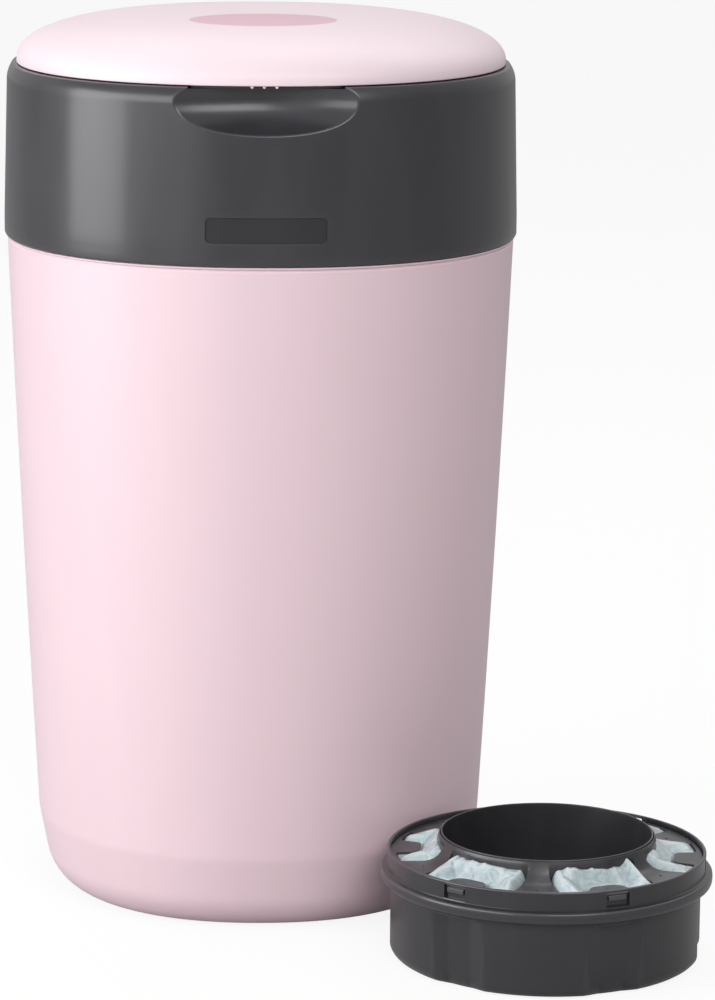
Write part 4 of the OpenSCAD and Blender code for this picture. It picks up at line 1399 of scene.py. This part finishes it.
@dataclass
class Cassette:
    """Refill cassette: a tray with snap windows and wall panels, a snapped-in cover and the gathered film."""

    wall_radius: float = 78.9
    wall: float = 2.0
    corner: float = 6.0
    floor: float = 2.0
    flange_low: float = 38.6
    flange_high: float = 44.8
    flange_radius: float = 83.7
    band_radius: float = 80.4
    lip: float = 54.9
    cover_radius: float = 78.8
    cover_seat: float = 50.5
    cover_thickness: float = 1.8
    tube_outer: float = 53.5
    tube_inner: float = 51.5
    tube_top: float = 63.4
    collar_gap: float = 0.3
    repeats: int = 6
    first: float = -129.0
    window: tuple[float, float] = (12.5, 7.2)
    window_top: float = 53.4
    panel_flat: float = 5.0
    panel_half: float = 10.8
    panel_depth: float = 2.8
    bridge: tuple[float, float] = (9.5, 26.0)
    tab_half: float = 9.4
    tab_length: float = 12.0
    vent_reach: float = 68.0
    film_hill: float = 7.4
    film_waves: tuple[float, float, float, float] = (21.0, 13.0, 9.0, 4.2)

    @property
    def hole_inner(self) -> float:
        """Radius at which the openings of the cover start."""
        return self.tube_outer + self.collar_gap + 1.2

    @property
    def hole_outer(self) -> float:
        """Radius at which the openings of the cover end."""
        return self.cover_radius - 2.6

    def from_opening(self, turn: float) -> float:
        """Gives how far a turn is from the middle of the nearest opening, both in degrees."""
        step = 360 / self.repeats
        return (turn - self.first + step / 2) % step - step / 2

    def all_round(self, piece: Piece, tool: Piece, how: How) -> None:
        """Combines a piece with a copy of a tool at each opening.

        Args:
            piece: The piece.
            tool: The tool, in the direction +X; it is removed.
            how: What it does to the piece.
        """
        for turn in around(self.repeats, self.first):
            combine(piece, placed(tool, "copy", turn=turn), how)
        remove(tool)

    def tray(self) -> Piece:
        """Builds the tray with its flange, windows, wall panels and open tube.

        Returns:
            The tray.
        """
        inner = self.wall_radius - self.wall
        low, high, out, band = self.flange_low, self.flange_high, self.flange_radius, self.band_radius
        tray = loft("tray", Section(points=360), [
            (self.tube_inner + 0.6, 0), (self.wall_radius - self.corner - 2, 0),
            *arc((self.wall_radius - self.corner, self.corner), self.corner, -90, 0, 7),
            (self.wall_radius, 20), (self.wall_radius, low - 2.6), (self.wall_radius, low - 2.0),
            (self.wall_radius, low - 0.5), (self.wall_radius + 0.3, low - 0.1),
            (self.wall_radius + 1.4, low + 0.1), (out - 1.2, low + 0.6), (out - 0.5, low + 1.2),
            (out - 0.12, low + 2.1), (out, low + 3.4), (out, high - 1.4), (out - 0.15, high - 0.5),
            (out - 0.6, high), (out - 1.4, high + 0.2), (band + 0.8, high + 0.45), (band + 0.2, high + 0.8),
            (band, high + 1.5), (band, self.lip - 0.9),
            *arc((band - 0.7, self.lip - 0.7), 0.7, 0, 90, 3),
            (self.cover_radius + 0.3, self.lip), (self.cover_radius, self.lip - 0.4),
            (self.cover_radius, self.cover_seat), (inner, self.cover_seat), (inner, low), (inner, low - 0.6),
            (inner, self.floor + 4),
            (inner - 4, self.floor), (self.tube_outer + 1.5, self.floor), (self.tube_outer, self.floor + 1.5),
            (self.tube_outer, self.tube_top - 2), (self.tube_outer, self.tube_top - 0.4),
            *arc((self.tube_outer - 0.4, self.tube_top - 0.4), 0.4, 0, 180, 6)[1:],
            (self.tube_outer - 0.9, self.tube_top - 3), (self.tube_inner + 0.5, self.tube_top - 14),
            (self.tube_inner, 30), (self.tube_inner, 0.6)])
        reshape(tray, self.press_panels)
        width, height = self.window
        tool = block("window", (self.cover_radius - 0.5, -width / 2, self.window_top - height),
                     (self.cover_radius + 4, width / 2, self.window_top))
        self.all_round(tray, tool, How.CUT)
        shade(tray)
        return tray

    def press_panels(self, point: Vector) -> Vector:
        """Presses the panels into the wall, with a ramp at each side.

        Args:
            point: A point of the tray or of the film in it, in millimetres.

        Returns:
            The point in its place.
        """
        radius = math.hypot(point.x, point.y)
        foot = self.wall_radius - self.corner - 2
        outer = radius > self.wall_radius - self.wall / 2
        if radius < foot or point.z > self.flange_low - (2.3 if outer else 0.3):
            return point
        turn = self.from_opening(math.degrees(math.atan2(point.y, point.x)))
        share = 1 - min(1.0, max(0.0, (abs(turn) - self.panel_flat) / (self.panel_half - self.panel_flat)))
        k = (radius - self.panel_depth * share * min(1.0, (radius - foot) / 5)) / radius
        return Vector((point.x * k, point.y * k, point.z))

    def bridge_half(self, radius: float) -> float:
        """Gives half the width of a bridge of the cover at a radius."""
        share = (radius - self.hole_inner) / (self.hole_outer - self.hole_inner)
        return self.bridge[0] / 2 + share * (self.bridge[1] - self.bridge[0]) / 2

    def hole(self) -> Piece:
        """Builds what one opening of the cover takes away, in the direction +X.

        Returns:
            The tool.
        """
        inner, outer = self.hole_inner, self.hole_outer

        def edge(radius: float) -> float:
            """Gives the angle between the middle of the opening and its bridge at a radius."""
            return math.pi / self.repeats - math.asin(self.bridge_half(radius) / radius)

        def at(radius: float, angle: float) -> Spot:
            """Gives the point at a radius and an angle."""
            return radius * math.cos(angle), radius * math.sin(angle)

        low, corner = outer - self.tab_length, 4.5
        root = math.asin((self.tab_half + 3.4) / outer)
        upper = [at(inner, edge(inner) * k / 8) for k in range(9)]
        upper += [at(r, edge(r)) for r in (inner + 4, inner + 9, outer - 2.5)]
        upper += [at(outer, edge(outer - 1) + (root - edge(outer - 1)) * k / 4) for k in range(5)]
        upper += [(outer - 1.8, self.tab_half + 1.7), (outer - 4.2, self.tab_half + 0.8)]
        upper += [(low + corner + corner * math.cos(math.radians(t)),
                   self.tab_half - corner + corner * math.sin(math.radians(t))) for t in range(90, 181, 18)]
        lower = [(x, -y) for x, y in reversed(upper[1:])]
        return slab("hole", [*upper, *lower], Along.Z, self.cover_seat - 3, self.lip + 12)

    def cover(self) -> Piece:
        """Builds the cover: a sunk ring that rises to a collar up the tube, cut by six openings.

        Returns:
            The cover.
        """
        seat, top = self.cover_seat, self.cover_seat + self.cover_thickness
        collar, rim = self.tube_outer + self.collar_gap, self.tube_top - 0.7
        cover = loft("cover", Section(points=240), [
            (self.cover_radius - 0.2, seat + 0.3), (self.cover_radius - 0.2, top - 0.3),
            (self.cover_radius - 0.5, top), (68, top), (64.8, top + 0.1), (62, top + 0.6), (59.8, top + 1.5),
            (58.1, top + 2.8), (56.8, top + 4.4), (55.8, top + 6.2), (55.0, top + 8),
            (collar + 0.65, rim - 0.8), (collar + 0.5, rim - 0.15), (collar + 0.3, rim),
            (collar + 0.1, rim - 0.15), (collar, rim - 0.5), (collar, seat), (self.cover_radius - 0.5, seat)])
        tool = self.hole()
        round_edges(tool, 1.6, sharper=24, segments=3)
        self.all_round(cover, tool, How.CUT)
        # The cuts leave points that nearly touch, and the rounding can't be wider than the gap between them.
        weld(cover, 0.05)
        round_edges(cover, 0.35, sharper=40, segments=2)
        hook = block("hook", (self.cover_radius - 0.4, 1.4 - self.window[0] / 2, seat - 1.3),
                     (self.band_radius - 0.5, self.window[0] / 2 - 1.4, top - 0.5))
        round_edges(hook, 0.45)
        self.all_round(cover, hook, How.JOIN)
        for turn in around(self.repeats, self.first + 180 / self.repeats):
            x, y = self.vent_reach * math.cos(turn), self.vent_reach * math.sin(turn)
            combine(cover, rod("vent", 0.8, (x, y, seat - 1), (x, y, top + 4), 16), How.CUT)
        shade(cover)
        return cover

    def clearance(self, radius: float, turn: float) -> tuple[float, float]:
        """Gives how far a place on the film is from the cover round it.

        Args:
            radius: Distance from the axis in millimetres.
            turn: Turn in degrees.

        Returns:
            Distances in millimetres: to the bridge and the rim, and to the tab; under them it is negative.
        """
        angle = math.radians(self.from_opening(turn))
        beside = radius * math.sin(math.pi / self.repeats - abs(angle)) - self.bridge_half(radius)
        aside = abs(radius * math.sin(angle)) - self.tab_half - 1.5
        tab = max(aside, self.hole_outer - self.tab_length - radius * math.cos(angle))
        return min(beside, self.hole_outer - radius + 0.8), tab

    def fold(self, point: Vector) -> Vector:
        """Gathers the film: it lies in long folds and swells up where the cover is open, highest at the tube.

        Args:
            point: A point of the plain film ring in millimetres.

        Returns:
            The point in its place.
        """
        if point.z < self.cover_seat - 6:
            return self.press_panels(point)
        radius, turn = math.hypot(point.x, point.y), math.degrees(math.atan2(point.y, point.x))
        along = Vector((math.cos(math.radians(turn)), math.sin(math.radians(turn)), 0)) * 66
        if radius < self.hole_inner:
            return point
        side, tab = self.clearance(radius, turn)
        low, high = ease(0.0, 1.8, min(side, tab)), ease(0.0, 4.5, side) * ease(0.0, 9.0, tab)
        slope = max(0.0, (self.hole_outer - radius) / (self.hole_outer - self.hole_inner))
        hill_wave, broad_wave, fold_wave, crease_wave = self.film_waves
        hill = 0.92 + 0.3 * noise.noise(along / hill_wave + Vector((5.0, 0, 0)))
        hill = self.film_hill * slope ** 0.85 * hill
        broad = 1.5 * noise.noise(along / broad_wave + Vector((0, 0, radius / 16))) * (0.4 + slope)
        fold = 1 - abs(noise.noise(along / fold_wave + Vector((2.0, 9.0, radius / 24))) * 2.4)
        crease = 1 - abs(noise.noise(along / crease_wave + Vector((7.0, 0, radius / 13))) * 2)
        swell = low * (0.9 + 0.4 * fold + 0.2 * crease) + high * (hill + broad + 0.7 * fold + 0.2 * crease)
        return point + Vector((0, 0, swell - 0.5 * (1 - low)))

    def film(self) -> Piece:
        """Builds the gathered film pack.

        Returns:
            The film.
        """
        top = self.cover_seat - 0.4
        low, high = self.tube_outer + 0.5, self.wall_radius - self.wall - 0.5
        near = [self.hole_inner + d for d in (-0.02, 0.04, 0.3, 0.7, 1.2, 1.7)]
        ridge = [high - 1.2 - 0.5 * k for k in range(int((high - 1.2 - near[-1]) / 0.5))]
        film = loft("film", Section(points=540), [
            (low + 1.5, 2.0), (high - 4.5, 2.0), (high, 8.0), (high, 37.6), (high, 39), (high, top - 3),
            (high - 0.3, top - 1.2),
            *[(r, top) for r in [*ridge, *reversed(near)]],
            (low + 0.9, top), (low + 0.3, top - 1.2), (low, top - 3), (low, 30), (low, 6.0)])
        reshape(film, self.fold)
        shade(film, 180)
        return film

    def build(self) -> None:
        """Builds the cassette once and puts a copy in the cradle and one beside the tub."""
        forms = {"tray": (self.tray(), "cassette_plastic"), "cover": (self.cover(), "cover_plastic"),
                 "film": (self.film(), "mint_film")}
        for prefix, body in (("cassette", "twist_unit"), ("spare", "spare_cassette")):
            low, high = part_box(f"{prefix}_tray")
            middle = (low + high) / 2 / MM
            for part, (form, slot) in forms.items():
                piece = placed(form, f"{prefix}_{part}_shell", (middle.x, middle.y, low.z / MM))
                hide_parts(f"{prefix}_{part}")
                Finishes.dress(piece, slot, body)
        remove(*[form for form, _ in forms.values()])


# ------------------------------------------------------------------ studio

WHITE = (1.0, 1.0, 1.0, 1.0)


@dataclass
class Studio:
    """Camera, lamps, world and floor, with places in metres apart from the camera's."""

    place: tuple[float, float, float] = (-44.44, -2230.7, 654.01)
    turn: float = 1.797
    tilt: float = 11.439
    roll: float = 0.346
    lens: float = 154.0
    shift: float = 0.05
    target: tuple[float, float, float] = (0.0, 0.0, 0.24)
    bright_side: tuple[float, float, float] = (-0.2, 0.4, 0.9)
    room: tuple[float, float] = (0.03, 0.6)
    floor_size: float = 14.0
    floor_drop: float = 0.0004
    paper: str = "#a8a6a7"
    paper_white: float = 0.88
    mirrored_white: float = 0.12

    def stand(self, name: str, data: bpy.types.ID) -> Piece:
        """Adds an object for a camera or a lamp to the scene.

        Args:
            name: Name of the object.
            data: Its camera or lamp.

        Returns:
            The object.
        """
        stood = bpy.data.objects.new(name, data)
        bpy.context.collection.objects.link(stood)
        return stood

    def camera(self) -> None:
        """Puts the camera where it stood for the photograph."""
        data = bpy.data.cameras.new("camera")
        data.lens, data.sensor_width, data.sensor_fit = self.lens, 36, "AUTO"
        data.shift_x, data.clip_start, data.clip_end = self.shift, 0.1, 30
        camera = self.stand("camera", data)
        camera.matrix_world = (
            Matrix.Translation(Vector(self.place) * MM)
            @ Matrix.Rotation(math.radians(-self.turn), 4, "Z")
            @ Matrix.Rotation(math.radians(90 - self.tilt), 4, "X")
            @ Matrix.Rotation(math.radians(self.roll), 4, "Z"))
        bpy.context.scene.camera = camera

    def softbox(self, name: str, place: Sequence[float], size: tuple[float, float], power: float) -> None:
        """Adds a rectangular lamp that looks at the bin.

        Args:
            name: Name of the lamp.
            place: Its place.
            size: Its width and height.
            power: Power in watts.
        """
        data = bpy.data.lights.new(name, "AREA")
        data.shape, data.size, data.size_y, data.energy = "RECTANGLE", *size, power
        lamp = self.stand(name, data)
        lamp.location = place
        lamp.rotation_euler = (Vector(self.target) - Vector(place)).to_track_quat("-Z", "Y").to_euler()

    def white_share(self, nodes: Nodes, straight: float) -> Socket:
        """Adds the share of plain white in what a ray sees of the room.

        Args:
            nodes: The tree.
            straight: Share for what the camera sees, through clear pieces too.

        Returns:
            Socket with the share.
        """
        camera, clear, glossy = (
            nodes.add("LightPath", {}, f"Is {kind} Ray") for kind in ("Camera", "Transmission", "Glossy"))
        seen = nodes.add("Math", {"operation": "MAXIMUM", 0: camera, 1: clear})
        shown = nodes.add("Math", {"operation": "MULTIPLY", 0: seen, 1: straight})
        mirrored = nodes.add("Math", {"operation": "MULTIPLY", 0: glossy, 1: self.mirrored_white})
        return nodes.add("Math", {"operation": "MAXIMUM", 0: shown, 1: mirrored})

    def world(self) -> None:
        """Lights softly from above and the back, and shows plain white to the camera."""
        world = bpy.data.worlds.new("studio")
        nodes = Nodes(world)
        way = nodes.add("TexCoord", {}, "Generated")
        side = nodes.add("VectorMath", {"operation": "DOT_PRODUCT", 0: way, 1: self.bright_side}, "Value")
        dim, bright = self.room
        level = nodes.add("MapRange", {"From Min": -1.0, "To Min": dim, "To Max": bright, "Value": side})
        soft, white = (
            nodes.add("Background", {"Color": WHITE, "Strength": strength}) for strength in (level, 1.0))
        lit = nodes.add("MixShader", {0: self.white_share(nodes, 1.0), 1: soft, 2: white})
        nodes.add("OutputWorld", {"Surface": lit})
        bpy.context.scene.world = world

    def floor(self) -> None:
        """Lays a white floor that keeps a soft shadow."""
        take()
        bpy.ops.mesh.primitive_plane_add(size=self.floor_size, location=(0, 0, -self.floor_drop))
        floor = named("studio_floor")
        # Matt paper scatters light evenly; to the camera most of its own shade is lifted to white.
        material = bpy.data.materials.new("matt white paper")
        nodes = Nodes(material)
        share = self.white_share(nodes, self.paper_white)
        colour = nodes.add("Mix", {"data_type": "RGBA", "Factor": share, 6: linear(self.paper), 7: WHITE}, 2)
        paper = nodes.add("BsdfDiffuse", {"Color": colour})
        bright = nodes.add("Emission", {"Color": WHITE, "Strength": 1.0})
        nodes.add("OutputMaterial", {"Surface": nodes.add("MixShader", {0: share, 1: paper, 2: bright})})
        floor.data.materials.append(material)

    def build(self) -> None:
        """Builds what stands round the bin."""
        self.softbox("left_box", (-1.85, -0.5, 0.65), (1.2, 1.1), 22)
        self.softbox("side_box", (-1.4, -1.65, 0.9), (1.25, 1.0), 16)
        self.softbox("top_box", (0.4, 1.1, 1.9), (2.0, 1.4), 13)
        self.softbox("front_box", (0.7, -2.1, 1.7), (1.5, 1.0), 26)
        self.world()
        self.floor()
        bpy.context.scene.view_settings.view_transform = "Standard"


def main() -> None:
    """Builds the bin piece by piece round its frame."""
    logging.basicConfig(level=logging.INFO, format="%(message)s")
    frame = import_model()
    studio = Studio()
    studio.camera()
    Tub(frame).build()
    TopUnit(frame).build()
    TwistUnit(frame).build()
    Cassette().build()
    Lid(frame).build()
    studio.build()


if __name__ == "__main__":
    main()
